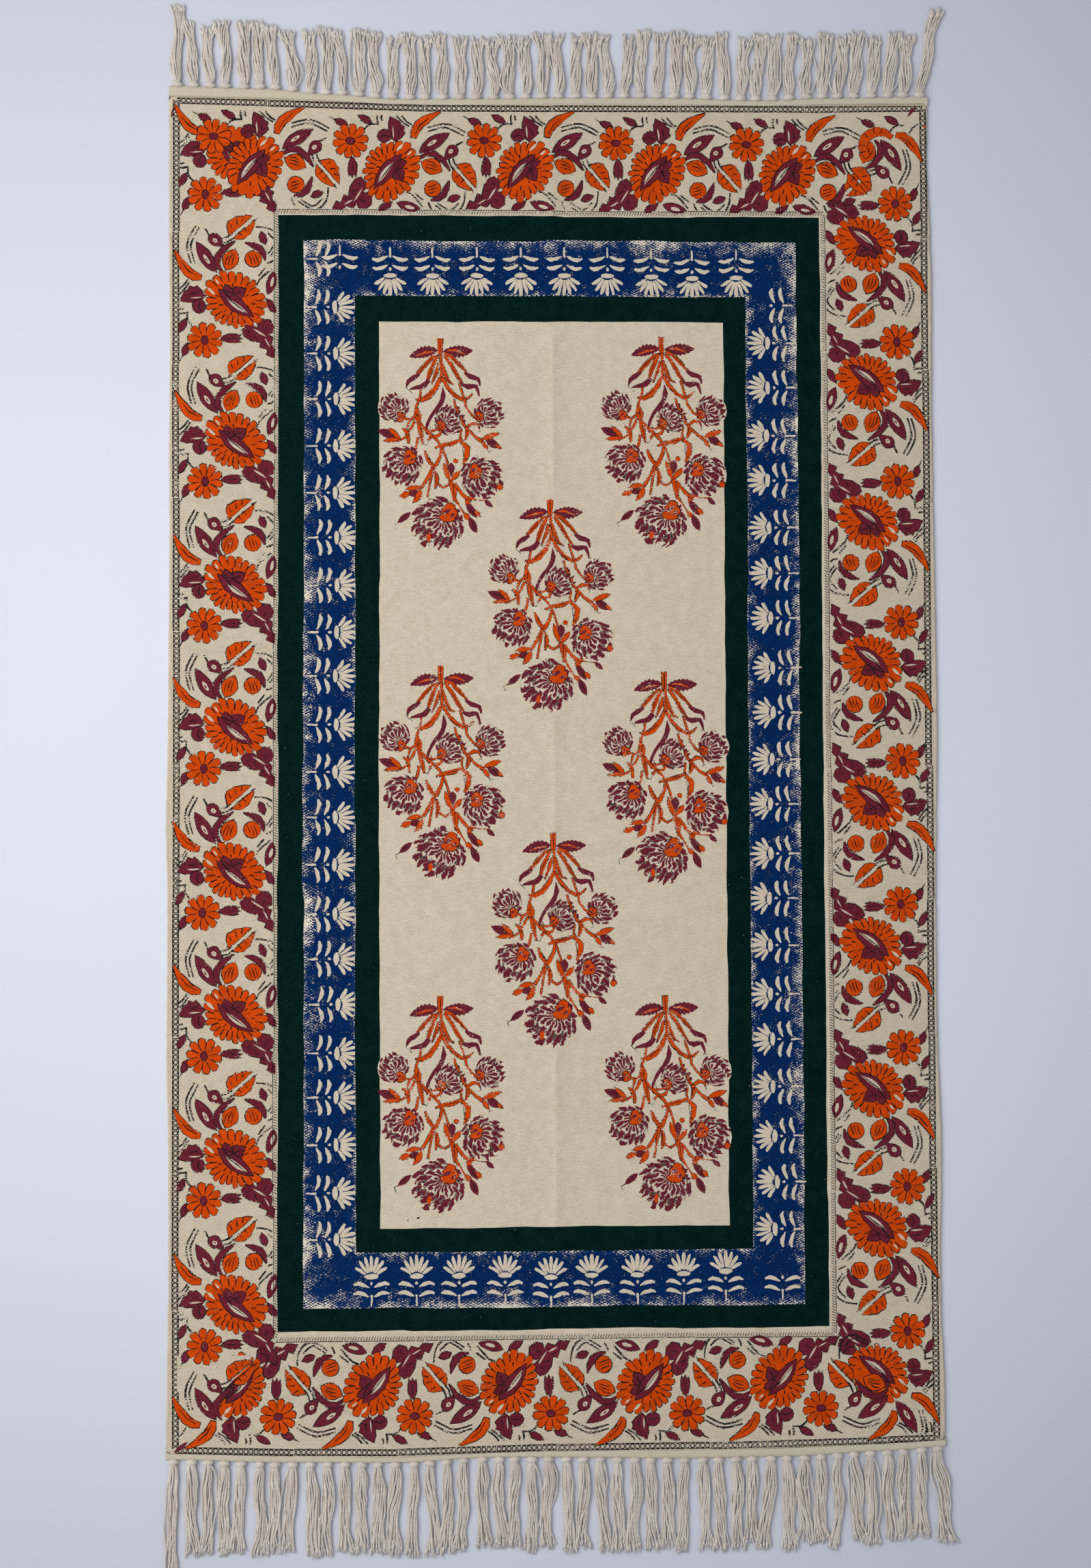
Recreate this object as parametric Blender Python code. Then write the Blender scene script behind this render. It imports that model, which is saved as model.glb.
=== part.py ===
"""Block-printed cotton dhurrie rug, lying flat on the floor, with a knotted fringe at both ends.

Frame: the origin is the middle of the woven body's underside. +X runs across the rug, +Y runs
along its length towards the top fringe, and +Z points up. Sizes below are in millimetres.
"""
import math
import random

import bmesh
import bpy

MM = 0.001

BODY_WIDTH = 900.0
BODY_LENGTH = 1590.0
CLOTH_THICKNESS = 3.2
PIECE_GAP = 0.45

# The selvedges wander a little. Each row: place along the rug, edge's place across it.
LEFT_EDGE = (
    (-795.0, -450.0), (-718.0, -448.7), (-578.0, -447.4), (-437.0, -447.9), (-367.0, -450.5),
    (-154.0, -449.6), (-82.0, -452.0), (60.0, -449.4), (276.0, -448.5), (348.0, -449.5),
    (493.0, -448.3), (639.0, -450.3), (795.0, -450.2),
)
RIGHT_EDGE = (
    (-795.0, 450.0), (-718.0, 450.5), (-648.0, 447.5), (-578.0, 446.7), (-508.0, 449.1),
    (-437.0, 449.9), (-296.0, 446.0), (-154.0, 446.7), (60.0, 450.6), (420.0, 448.3),
    (602.0, 450.0), (712.0, 445.3), (795.0, 447.5),
)
# The unprinted header bands at the ends. Each row: place across, outer edge along, band depth.
TOP_BAND = (
    (-450.0, 803.0, 12.0), (-338.0, 800.5, 11.0), (-262.0, 794.6, 8.0), (-181.0, 789.5, 7.0),
    (127.0, 793.0, 7.5), (248.0, 790.4, 7.0), (329.0, 794.2, 8.0), (450.0, 796.6, 8.0),
)
BOTTOM_BAND = (
    (-450.0, -794.0, 12.5), (-303.0, -798.7, 13.0), (-183.0, -800.5, 12.0), (-78.0, -795.8, 9.0),
    (177.0, -799.6, 9.0), (272.0, -798.7, 9.0), (382.0, -794.0, 8.0), (450.0, -790.0, 7.0),
)

# The rug is stored folded in four, which leaves one soft crease each way.
CREASE_HEIGHT = {"lengthwise": 1.3, "crosswise": 0.9}
CREASE_HALF_WIDTH = 10.0
CREASE_LINES = (-26.0, -14.0, -6.0, 0.0, 6.0, 14.0, 26.0)
CREASE_FADE = 60.0
# Low swells of the cloth. Each row: wave length across, wave length along, phase, height.
SWELLS = ((520.0, 1450.0, 0.6, 0.22), (-910.0, 610.0, 2.1, 0.20), (330.0, -420.0, 4.0, 0.10))
GRID_STEP_ACROSS = 62.0
GRID_STEP_ALONG = 72.0
SELVEDGE_WIDTH = 4.0
SELVEDGE_HEIGHT = 2.1

TASSELS = 46
TASSEL_INSET = 9.0
ROOT_JITTER = 1.1
TIP_JITTER = 0.7
ROOT_HALF_WIDTH = 4.6
ROOT_HEIGHT = 3.0
BAND_RIDGE_HEIGHT = 4.0
BAND_INNER_HEIGHT = 3.0
# An overhand knot. Each row: distance out from the band, half width, height, lift of its sides.
KNOT_RINGS = ((2.5, 6.3, 6.8, 2.2), (8.5, 6.6, 7.4, 2.4), (13.0, 5.9, 3.6, 0.0))
# Three locks of yarn leave each knot. Each row: share of the lock's length, width, height.
LOCK_RINGS = ((0.22, 4.4, 3.2), (0.5, 4.7, 2.9), (0.78, 4.6, 2.6), (1.0, 3.0, 1.3))
LOCK_LANES = (-1, 0, 1)
LOCK_ROOT_SHARES = (-1.0, -0.43, -0.285, 0.285, 0.43, 1.0)
LOCK_TOP_SHARE = 0.715
LOCK_SPREAD = 6.1
SPREAD_LENGTH = 24.0
WAVE_HEIGHT = 0.8
WAVE_LENGTH = 52.0
WAVE_DRIFT = 0.45
FRINGE_LENGTH = {"top": 78.0, "bottom": 105.0}
LENGTH_JITTER = 4.0
# The four corner tassels are longer and lean. Each row: end, tassel, length, lean across.
CORNER_TASSELS = (
    ("top", 0, 99.0, 2.0), ("top", TASSELS - 1, 107.0, 22.0),
    ("bottom", 0, 130.0, -2.0), ("bottom", TASSELS - 1, 112.0, 13.0),
)

COTTON = {"base": (0.56, 0.49, 0.38, 1.0), "roughness": 0.95}
FRINGE_COTTON = {"base": (0.62, 0.58, 0.50, 1.0), "roughness": 0.95}


def clear_scene():
    for thing in list(bpy.data.objects):
        bpy.data.objects.remove(thing, do_unlink=True)


def cotton_material(name, finish):
    material = bpy.data.materials.new(name)
    material.use_nodes = True
    shader = material.node_tree.nodes["Principled BSDF"]
    shader.inputs["Base Color"].default_value = finish["base"]
    shader.inputs["Roughness"].default_value = finish["roughness"]
    shader.inputs["Metallic"].default_value = 0.0
    return material


def read_table(table, place, column):
    """Eases from row to row, so that an edge bends softly."""
    if place <= table[0][0]:
        return table[0][column]
    for low, high in zip(table, table[1:]):
        if place <= high[0]:
            share = (place - low[0]) / (high[0] - low[0])
            share = share * share * (3.0 - 2.0 * share)
            return low[column] + (high[column] - low[column]) * share
    return table[-1][column]


def band_outer(end, across):
    return read_table(TOP_BAND if end == "top" else BOTTOM_BAND, across, 1)


def cloth_end(end, across):
    """Where the printed cloth meets the header band."""
    table, outward = (TOP_BAND, 1.0) if end == "top" else (BOTTOM_BAND, -1.0)
    return read_table(table, across, 1) - outward * read_table(table, across, 2)


def end_row(end):
    """The cloth's own points along one end, which its header band follows."""
    points = []
    for line in grid_lines(BODY_WIDTH / 2, GRID_STEP_ACROSS):
        along = cloth_end(end, line)
        left, right = read_table(LEFT_EDGE, along, 1), read_table(RIGHT_EDGE, along, 1)
        points.append((left + (right - left) * (0.5 + line / BODY_WIDTH), along))
    return points


def read_line(points, across):
    """Straight from point to point."""
    for (low, along), (high, following) in zip(points, points[1:]):
        if across <= high:
            return along + (following - along) * (across - low) / (high - low)
    return points[-1][1]


def soft_bump(distance):
    return math.exp(-(distance / CREASE_HALF_WIDTH) ** 2)


def crease_fade(place, half_size):
    """A crease dies away before it reaches the rug's edge."""
    return min(1.0, max(0.0, (half_size - abs(place)) / CREASE_FADE))


def cloth_height(across, along):
    height = CLOTH_THICKNESS
    lengthwise = soft_bump(across) * crease_fade(along, BODY_LENGTH / 2)
    crosswise = soft_bump(along) * crease_fade(across, BODY_WIDTH / 2)
    height += max(CREASE_HEIGHT["lengthwise"] * lengthwise, CREASE_HEIGHT["crosswise"] * crosswise)
    for length_across, length_along, phase, swell in SWELLS:
        height += swell * math.sin(2 * math.pi * (across / length_across + along / length_along) + phase)
    return height


def grid_lines(half_size, step):
    """Even lines, with closer ones at the crease and one just inside each edge."""
    clear = CREASE_LINES[-1] + step / 3
    count = round(half_size / step)
    even = [half_size * k / count for k in range(-count, count + 1)]
    inner = half_size - SELVEDGE_WIDTH
    lines = [line for line in even if abs(line) > clear] + list(CREASE_LINES) + [-inner, inner]
    return sorted(lines)


def make_object(name, mesh_data, material):
    mesh = bpy.data.meshes.new(name)
    bmesh.ops.recalc_face_normals(mesh_data, faces=mesh_data.faces)
    mesh_data.to_mesh(mesh)
    mesh_data.free()
    mesh.materials.append(material)
    thing = bpy.data.objects.new(name, mesh)
    bpy.context.scene.collection.objects.link(thing)
    return thing


def rug_cloth():
    """The woven, printed body: one flat sheet with a flat underside."""
    cloth = bmesh.new()
    across_lines = grid_lines(BODY_WIDTH / 2, GRID_STEP_ACROSS)
    along_lines = grid_lines(BODY_LENGTH / 2, GRID_STEP_ALONG)
    last_column = len(across_lines) - 1
    last_row = len(along_lines) - 1
    top = []
    for row, line in enumerate(along_lines):
        row_share = 0.5 + line / BODY_LENGTH
        points = []
        for column, across in enumerate(across_lines):
            low = cloth_end("bottom", across)
            along = low + (cloth_end("top", across) - low) * row_share
            left = read_table(LEFT_EDGE, along, 1)
            right = read_table(RIGHT_EDGE, along, 1)
            placed = left + (right - left) * (0.5 + across / BODY_WIDTH)
            at_edge = row in (0, last_row) or column in (0, last_column)
            height = SELVEDGE_HEIGHT if at_edge else cloth_height(placed, along)
            points.append(cloth.verts.new((placed * MM, along * MM, height * MM)))
        top.append(points)
    for low_row, high_row in zip(top, top[1:]):
        for column in range(last_column):
            cloth.faces.new((low_row[column], low_row[column + 1], high_row[column + 1], high_row[column]))

    rim = top[0] + [row[-1] for row in top[1:-1]] + top[-1][::-1] + [row[0] for row in top[-2:0:-1]]
    floor = {vert: cloth.verts.new((vert.co.x, vert.co.y, 0.0)) for vert in rim}
    for vert, following in zip(rim, rim[1:] + rim[:1]):
        cloth.faces.new((following, vert, floor[vert], floor[following]))
    for low_row, high_row in zip(top, top[1:]):
        ends = [low_row[0], *high_row[::last_column], low_row[-1]]
        if low_row is top[0]:
            ends = [*low_row[::-1], high_row[0], high_row[-1]]
        if high_row is top[-1]:
            ends = [*high_row, low_row[-1], low_row[0]]
        cloth.faces.new([floor[vert] for vert in ends])
    return make_object("rug_cloth", cloth, cotton_material("printed_cotton", COTTON))


def knot_ring(fringe, place, outward, centre, out, half_width, height, lift):
    """Nine points round a knot: six along the floor, three over the top."""
    edge = place(centre)
    points = []
    for share in LOCK_ROOT_SHARES:
        low = lift if abs(share) == 1.0 else 0.0
        points.append((centre + share * half_width, edge + outward * out, low))
    for share, fullness in ((LOCK_TOP_SHARE, 0.85), (0.0, 1.0), (-LOCK_TOP_SHARE, 0.85)):
        points.append((centre + share * half_width, edge + outward * out, height * fullness))
    return [fringe.verts.new((x * MM, y * MM, z * MM)) for x, y, z in points]


def join_rings(fringe, ring, following):
    for k in range(len(ring)):
        after = (k + 1) % len(ring)
        fringe.faces.new((ring[k], ring[after], following[after], following[k]))


def lock(fringe, ring, centreline, start, length):
    """A lock of yarn with a flat underside that rests on the floor."""
    for share, width, height in LOCK_RINGS:
        across, along = centreline(start + share * (length - start))
        corners = ((-width / 2, 0.0), (width / 2, 0.0), (0.0, height))
        following = [fringe.verts.new(((across + x) * MM, along * MM, z * MM)) for x, z in corners]
        join_rings(fringe, ring, following)
        ring = following
    fringe.faces.new(ring)


def tassel(fringe, end, number, ring, centre, tip_centre, length):
    outward = 1.0 if end == "top" else -1.0
    for out, half_width, height, lift in KNOT_RINGS:
        following = knot_ring(fringe, lambda across: band_outer(end, across), outward,
                              centre, out, half_width, height, lift)
        join_rings(fringe, ring, following)
        ring = following
    start = KNOT_RINGS[-1][0]
    half_width = KNOT_RINGS[-1][1]
    root_spread = half_width * LOCK_TOP_SHARE

    def centreline_of(lane):
        def centreline(out):
            gone = (out - start) / (length - start)
            spread = min(1.0, (out - start) / SPREAD_LENGTH)
            side = lane * (root_spread + (LOCK_SPREAD - root_spread) * spread)
            wave = WAVE_HEIGHT * math.sin(2 * math.pi * out / WAVE_LENGTH + WAVE_DRIFT * number)
            across = centre + (tip_centre - centre) * gone ** 1.4 + side + wave * spread
            return across, band_outer(end, centre) + outward * out
        return centreline

    low, high = ring[:6], ring[:5:-1]
    for lane in LOCK_LANES:
        left, right, top = low[2 * (lane + 1)], low[2 * (lane + 1) + 1], high[lane + 1]
        lock(fringe, [left, right, top], centreline_of(lane), start, length)
    for lane in LOCK_LANES[:-1]:
        fringe.faces.new((low[2 * lane + 3], low[2 * lane + 4], high[lane + 2], high[lane + 1]))


def band_section(fringe, end, row, across):
    """One cross-section of the header band, from its outer foot over the ridge to the inner foot."""
    outward = 1.0 if end == "top" else -1.0
    outer = band_outer(end, across)
    inner = read_line(row, across) + outward * PIECE_GAP
    middle = (outer + inner) / 2
    section = ((outer, 0.0), (outer, ROOT_HEIGHT), (middle, BAND_RIDGE_HEIGHT),
               (inner, BAND_INNER_HEIGHT), (inner, 0.0))
    return [fringe.verts.new((across * MM, along * MM, height * MM)) for along, height in section]


def fringe_end(end):
    """A header band with its knotted tassels, one piece."""
    draw = random.Random(46 if end == "top" else 64)
    corners = {number: (length, lean) for row_end, number, length, lean in CORNER_TASSELS if row_end == end}
    fringe = bmesh.new()
    row = end_row(end)
    left, right = row[0][0], row[-1][0]
    pitch = (right - left - 2 * TASSEL_INSET) / (TASSELS - 1)

    sections = [band_section(fringe, end, row, left)]
    fringe.faces.new(sections[0])
    for number in range(TASSELS):
        even = left + TASSEL_INSET + pitch * number
        centre = even + draw.uniform(-ROOT_JITTER, ROOT_JITTER)
        tip_centre = even + draw.uniform(-TIP_JITTER, TIP_JITTER)
        length = FRINGE_LENGTH[end] + draw.uniform(-LENGTH_JITTER, LENGTH_JITTER)
        if number in corners:
            length, lean = corners[number]
            tip_centre += lean
        near = band_section(fringe, end, row, centre - ROOT_HALF_WIDTH)
        far = band_section(fringe, end, row, centre + ROOT_HALF_WIDTH)
        join_band(fringe, sections[-1], near)

        y = near[0].co.y
        feet = [fringe.verts.new((centre * MM + share * ROOT_HALF_WIDTH * MM, y, 0.0))
                for share in LOCK_ROOT_SHARES[1:-1]]
        crown = fringe.verts.new((centre * MM, y, ROOT_HEIGHT * MM))
        root = [near[0], *feet, far[0], far[1], crown, near[1]]
        fringe.faces.new((near[1], crown, far[1], far[2], near[2]))
        fringe.faces.new((near[2], far[2], far[3], near[3]))
        fringe.faces.new((near[3], far[3], far[4], near[4]))
        fringe.faces.new((near[4], far[4], far[0], *feet[::-1], near[0]))
        tassel(fringe, end, number, root, centre, tip_centre, length)
        sections.append(far)
    last = band_section(fringe, end, row, right)
    join_band(fringe, sections[-1], last)
    fringe.faces.new(last)
    return make_object("fringe_" + end, fringe, cotton_material("fringe_cotton_" + end, FRINGE_COTTON))


def join_band(fringe, near, far):
    for k in range(len(near)):
        after = (k + 1) % len(near)
        fringe.faces.new((near[k], near[after], far[after], far[k]))


def main():
    clear_scene()
    rug_cloth()
    fringe_end("top")
    fringe_end("bottom")


main()
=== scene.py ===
"""Hand block-printed cotton dhurrie rug with knotted fringes, lying flat on a pale floor.

The printed cloth is one closed sheet: its woven body, with the prints cut into the mesh shape by
shape, as the printer's wooden blocks leave them. The two fringes are header bands with overhand
knots and loose plied yarns. Charts and places are in millimetres.
"""
import math
import random

import bpy
import numpy as np
from mathutils.geometry import delaunay_2d_cdt
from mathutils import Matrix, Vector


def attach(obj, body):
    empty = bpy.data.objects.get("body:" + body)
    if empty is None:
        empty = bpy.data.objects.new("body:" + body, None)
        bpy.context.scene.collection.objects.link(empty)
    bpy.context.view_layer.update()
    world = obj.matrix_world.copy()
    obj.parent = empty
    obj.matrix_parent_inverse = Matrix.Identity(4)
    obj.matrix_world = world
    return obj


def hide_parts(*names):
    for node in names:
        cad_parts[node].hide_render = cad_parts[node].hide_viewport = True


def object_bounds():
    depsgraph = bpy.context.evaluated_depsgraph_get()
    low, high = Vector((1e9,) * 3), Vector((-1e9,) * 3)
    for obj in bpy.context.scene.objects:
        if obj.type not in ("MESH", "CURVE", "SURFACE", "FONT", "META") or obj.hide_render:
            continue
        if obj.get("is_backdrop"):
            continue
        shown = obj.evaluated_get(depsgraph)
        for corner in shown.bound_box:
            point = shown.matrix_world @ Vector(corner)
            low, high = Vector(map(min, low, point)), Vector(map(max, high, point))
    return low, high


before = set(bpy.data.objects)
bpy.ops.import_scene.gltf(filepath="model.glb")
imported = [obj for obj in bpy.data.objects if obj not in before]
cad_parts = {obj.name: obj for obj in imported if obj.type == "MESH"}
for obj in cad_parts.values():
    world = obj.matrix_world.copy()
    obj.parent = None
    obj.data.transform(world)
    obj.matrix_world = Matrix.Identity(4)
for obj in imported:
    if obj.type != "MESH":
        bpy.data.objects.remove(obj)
cad_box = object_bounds()

MM = 0.001

# The woven body, as in the CAD.
BODY_WIDTH = 900.0
BODY_LENGTH = 1590.0
CLOTH_THICKNESS = 3.2
WARP_PITCH = 2.8
WEFT_PITCH = 1.5
CREASE_HEIGHT = {"lengthwise": 1.3, "crosswise": 0.9}
CREASE_HALF_WIDTH = 10.0
CREASE_FADE = 60.0
# Low swells: wave length across and along, phase, height.
SWELLS = ((520.0, 1450.0, 0.6, 0.22), (-910.0, 610.0, 2.1, 0.20), (330.0, -420.0, 4.0, 0.10))

# Inks as they dry on cream cotton, in sRGB, and how well each one takes: 1 is a full, even print.
INKS = {
    "cotton": ("#CFC3AD", -1.0),
    "green": ("#011C1A", 0.93),
    "blue": ("#022456", 0.81),
    "orange": ("#CE4504", 0.81),
    "maroon": ("#6A202F", 0.83),
    "key": ("#1B1818", 0.62),
}


def linear(hex_colour):
    """sRGB hex to linear light, with an alpha of 1."""
    values = [int(hex_colour[k:k + 2], 16) / 255.0 for k in (1, 3, 5)]
    return [v / 12.92 if v <= 0.04045 else ((v + 0.055) / 1.055) ** 2.4 for v in values] + [1.0]


# Drawing with points.

def unit(x, y):
    """The same direction with length 1."""
    size = math.hypot(x, y) or 1.0
    return x / size, y / size


def pairs_round(points):
    """Each point with the next one, all the way round."""
    return zip(points, points[1:] + points[:1])


def sides_round(corners, step):
    """Each side of an outline: its start, its direction, its length and how many steps fit in it."""
    for (x0, y0), (x1, y1) in pairs_round(corners):
        length = math.hypot(x1 - x0, y1 - y0)
        yield x0, y0, (x1 - x0) / length, (y1 - y0) / length, length, max(1, round(length / step))


def signed_area(points):
    """Positive where the outline runs anticlockwise."""
    return 0.5 * sum(a[0] * b[1] - b[0] * a[1] for a, b in pairs_round(points))


def inset(points, by):
    """The same outline drawn inward, or outward where by is negative."""
    side = 1.0 if signed_area(points) > 0 else -1.0
    drawn = []
    for k, (x, y) in enumerate(points):
        before, after = points[k - 1], points[(k + 1) % len(points)]
        ax, ay = unit(x - before[0], y - before[1])
        bx, by_after = unit(after[0] - x, after[1] - y)
        nx, ny = -(ay + by_after) * side, (ax + bx) * side
        size = math.hypot(nx, ny) or 1.0
        reach = by / max(0.55, size / 2.0)
        drawn.append((x + nx / size * reach, y + ny / size * reach))
    return drawn


def smooth(points, steps):
    """A soft curve through the points."""
    ends = [points[0], *points, points[-1]]
    drawn = []
    for a, b, c, d in zip(ends, ends[1:], ends[2:], ends[3:]):
        for k in range(steps):
            t = k / steps
            drawn.append(tuple(
                0.5 * (2 * q + (r - p) * t + (2 * p - 5 * q + 4 * r - s) * t * t
                       + (3 * q - p - 3 * r + s) * t ** 3)
                for p, q, r, s in zip(a, b, c, d)))
    return drawn + [tuple(points[-1])]


def ribbon(points, half_widths, steps=2):
    """A stroke along a soft curve. Half widths are read at even places along it."""
    line = smooth(points, steps)
    last = len(line) - 1
    left, right = [], []
    for k, (x, y) in enumerate(line):
        before, after = line[max(0, k - 1)], line[min(last, k + 1)]
        tx, ty = unit(after[0] - before[0], after[1] - before[1])
        half = float(np.interp(k / last, np.linspace(0, 1, len(half_widths)), half_widths))
        left.append((x - ty * half, y + tx * half))
        right.append((x + ty * half, y - tx * half))
    return left + right[::-1]


def leaf(base, tip, left, right, bend=0.0, full=0.5, steps=6, teeth=0.0):
    """A leaf or petal from base to tip: its half widths on both sides, and where it is fullest."""
    tx, ty = unit(tip[0] - base[0], tip[1] - base[1])
    power = math.log(0.5) / math.log(full)

    def edge(side, half):
        for k in range(1, steps):
            t = k / steps
            arch = bend * 4.0 * t * (1.0 - t)
            lean = bend * 4.0 * (1.0 - 2.0 * t) / math.dist(base, tip)
            x = base[0] + (tip[0] - base[0]) * t - ty * arch
            y = base[1] + (tip[1] - base[1]) * t + tx * arch
            nx, ny = unit(-ty - tx * lean, tx - ty * lean)
            tooth = 1.0 + teeth * (-1) ** k
            reach = half * math.sin(math.pi * t ** power) ** 0.8 * tooth
            yield x + nx * side * reach, y + ny * side * reach

    return [base, *edge(1.0, left), tip, *reversed(list(edge(-1.0, right)))]


def oval(centre, half_length, half_width, turn=0.0, points=10):
    """An oval of few points, turned by degrees."""
    c, s = math.cos(math.radians(turn)), math.sin(math.radians(turn))
    drawn = []
    for k in range(points):
        x = half_length * math.cos(2 * math.pi * k / points)
        y = half_width * math.sin(2 * math.pi * k / points)
        drawn.append((centre[0] + x * c - y * s, centre[1] + x * s + y * c))
    return drawn


def polar(centre, radius, angle):
    """The point at a distance and an angle, in degrees, from a centre."""
    return (centre[0] + radius * math.cos(math.radians(angle)),
            centre[1] + radius * math.sin(math.radians(angle)))


def reach_at(reach, angle):
    """A flower's radius at an angle. Its reach is one radius, or a list of them all the way round."""
    radii = reach if isinstance(reach, list) else [reach]
    return float(np.interp(angle % 360.0, np.linspace(0.0, 360.0, len(radii) + 1), [*radii, radii[0]]))


def petals(centre, reach, count, notch, turn=0.0, uneven=0.0):
    """The toothed contour of a flower: at each petal a notch, a shoulder, the tip and a shoulder."""
    drawn = []
    for k in range(count):
        longer = uneven * math.sin(k * 2.4)
        for share, drop in ((-1.0, notch), (-0.66, 0.2 * notch), (0.2 * math.sin(k * 1.7), -0.04 * notch),
                            (0.66, 0.2 * notch)):
            angle = turn + 180.0 / count * (2 * k + share)
            drawn.append(polar(centre, reach_at(reach, angle) - drop + longer, angle))
    return drawn


def spokes(centre, reach, count, out, inward, half_width, turn=0.0):
    """Short carved lines between the petals of a flower."""
    for k in range(count):
        angle = turn + 360.0 / count * (k - 0.5)
        radius = reach_at(reach, angle)
        c, s = math.cos(math.radians(angle)), math.sin(math.radians(angle))
        drawn = []
        for back, half, sides in ((inward, half_width * 0.5, (-1, 1)), (out, half_width, (1, -1))):
            x, y = polar(centre, radius - back, angle)
            drawn += [(x + side * s * half, y - side * c * half) for side in sides]
        yield drawn


class Block:
    """A printing block: its shapes in the order of printing, each with its ink.

    take is how much more or less ink a shape takes. repeat is for a small repeat that the material
    draws: its origin, a point that x runs to, a scale and its kind.
    """

    def __init__(self):
        self.shapes = []

    def add(self, ink, *outlines, take=0.0, repeat=None):
        self.shapes += [(ink, outline, take, repeat) for outline in outlines]

    def outlined(self, ink, outline, line=1.05):
        """A filled shape with the key block's black line round it."""
        self.add("key", inset(outline, -line * 0.7))
        self.add(ink, inset(outline, line * 0.3))

    def strokes(self, half_widths, *lines, ink="key", steps=1, take=0.0):
        """Lines of one width, in the key block's black unless said otherwise."""
        self.add(ink, *[ribbon(line, half_widths, steps) for line in lines], take=take)


# The border block: x runs forward along the band and y outward, from the middle of the big flower.

FLOWER_REACH = [36, 40, 39, 32, 31, 29, 29, 33, 39, 39, 33, 35]
TULIP_BUD = [(-43.5, 15), (-40, 12), (-37.5, 6), (-37.5, -3), (-38.5, -9), (-41, -5), (-42.8, -10),
             (-45, -5), (-47, -8), (-48, -2), (-47.5, 6), (-45.5, 12)]
LOBED_LEAF = [(-67, -48), (-62, -38), (-56.5, -40), (-53, -30), (-47.5, -31.5), (-45.5, -20),
              (-40, -11.5), (-33, -9), (-27, -14.5), (-26.5, -22), (-31, -27.5), (-25, -27.5), (-20, -33),
              (-21, -42), (-28, -47.5), (-36, -45.5), (-38, -40), (-42, -46), (-50, -43.5), (-55.5, -49)]
BORDER_VINES = (
    [(46, 50), (62.5, 54.5), (75, 53), (90.5, 44.5)], [(46, 45.5), (62, 50), (72, 49), (88.5, 40.5)],
    [(9, 64.5), (16, 57), (24.5, 51.5)], [(15.5, 64.5), (21, 57.5), (27.5, 53.5)],
    [(-13, 65), (-13.5, 60), (-12, 53)], [(-8, 65), (-8.5, 61.5), (-7.5, 58)],
    [(-12, 54), (-21, 54), (-27, 50), (-30, 46)],
    [(18.5, -26.5), (26.5, -29.5), (35.5, -39.5), (39.5, -44.5)], [(30.5, -28.5), (40.5, -36.5)],
    [(46.5, -38.5), (47.5, -43), (50.5, -47.5)],
    [(54.5, -42.5), (64.5, -49.5), (74.5, -52.5), (83.5, -47.5), (88.5, -37.5), (89.5, -25.5)],
    [(56.5, -39.5), (70.5, -48.5), (78.5, -43.5), (82.5, -39.5)],
    [(70.5, 14.5), (72.5, 5.5), (77.5, -0.5)], [(75.5, 14.5), (78, 6.5), (81.5, 1.5)],
    [(79.5, 29.5), (83, 31), (87.5, 33.5)],
)


def border_block():
    block = Block()
    block.strokes((1.0, 1.25, 1.0), *BORDER_VINES, steps=2, take=-0.07)
    border_leaves(block)
    half_open_buds(block)
    border_horns(block)
    # The rosette.
    block.outlined("orange", petals((-45, 34), 21.0, 10, 6.4, turn=8.0, uneven=0.5), 1.0)
    block.add("key", *spokes((-45, 34), 21.0, 10, 6.0, 14.5, 0.8, turn=8.0))
    block.add("key", oval((-45, 34), 6.2, 4.8))
    block.add("maroon", oval((-45, 34), 5.2, 3.8))
    big_flower(block)
    return block


def border_leaves(block):
    # Buds and small leaves, plain maroon.
    for base, tip, left, right in (((-48, 53), (-64, 59.5), 4.5, 4.0), ((-19.5, 55.5), (-36, 64.5), 4.0, 4.0),
                                   ((69, -37), (84, -31.5), 4.5, 4.0), ((-13, -49.5), (4, -38), 4.2, 4.8)):
        block.outlined("maroon", leaf(base, tip, left, right, full=0.48, teeth=0.06))
    block.strokes((0.9, 0.4), [(-62, 59), (-70, 63)], steps=2)
    block.outlined("maroon", TULIP_BUD)
    block.strokes((0.3, 0.6), [(-43, 8), (-42.5, -2)])
    # The large lobed leaf, with its veins left bare.
    block.outlined("maroon", LOBED_LEAF)
    block.add("cotton", leaf((-31, -22), (-41, -38), 1.1, 1.0, steps=4),
              leaf((-42, -36), (-53, -42), 0.9, 0.8, steps=4))
    block.strokes((0.6, 0.4), [(-44, -27), (-37, -24)], [(-52, -36), (-46, -33)], [(-29, -38), (-35, -35)],
                  [(-36, -16), (-33, -20)])
    # Leaves with an eye, left bare. Two of the eyes have a pupil.
    block.outlined("maroon", leaf((35.5, 19.5), (71.5, 43.5), 8.5, 6.5, full=0.48, steps=8))
    block.add("cotton", oval((51, 32), 6.5, 2.2, 34.0))
    block.add("maroon", oval((50.5, 31.8), 2.6, 0.8, 34.0, 6))
    block.outlined("maroon", leaf((64.5, 10), (79.5, 29.5), 6.5, 7.5, full=0.66, steps=8))
    block.add("cotton", oval((73.2, 22), 3.2, 2.6, 50.0, 8))
    block.add("maroon", oval((73.2, 22), 1.1, 0.9, 50.0, 5))
    block.outlined("maroon", leaf((9.5, -39.5), (37.5, -47.5), 5.0, 7.0, full=0.5, steps=8))
    block.add("cotton", oval((24.5, -45), 6.0, 2.1, -15.0))


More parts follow.
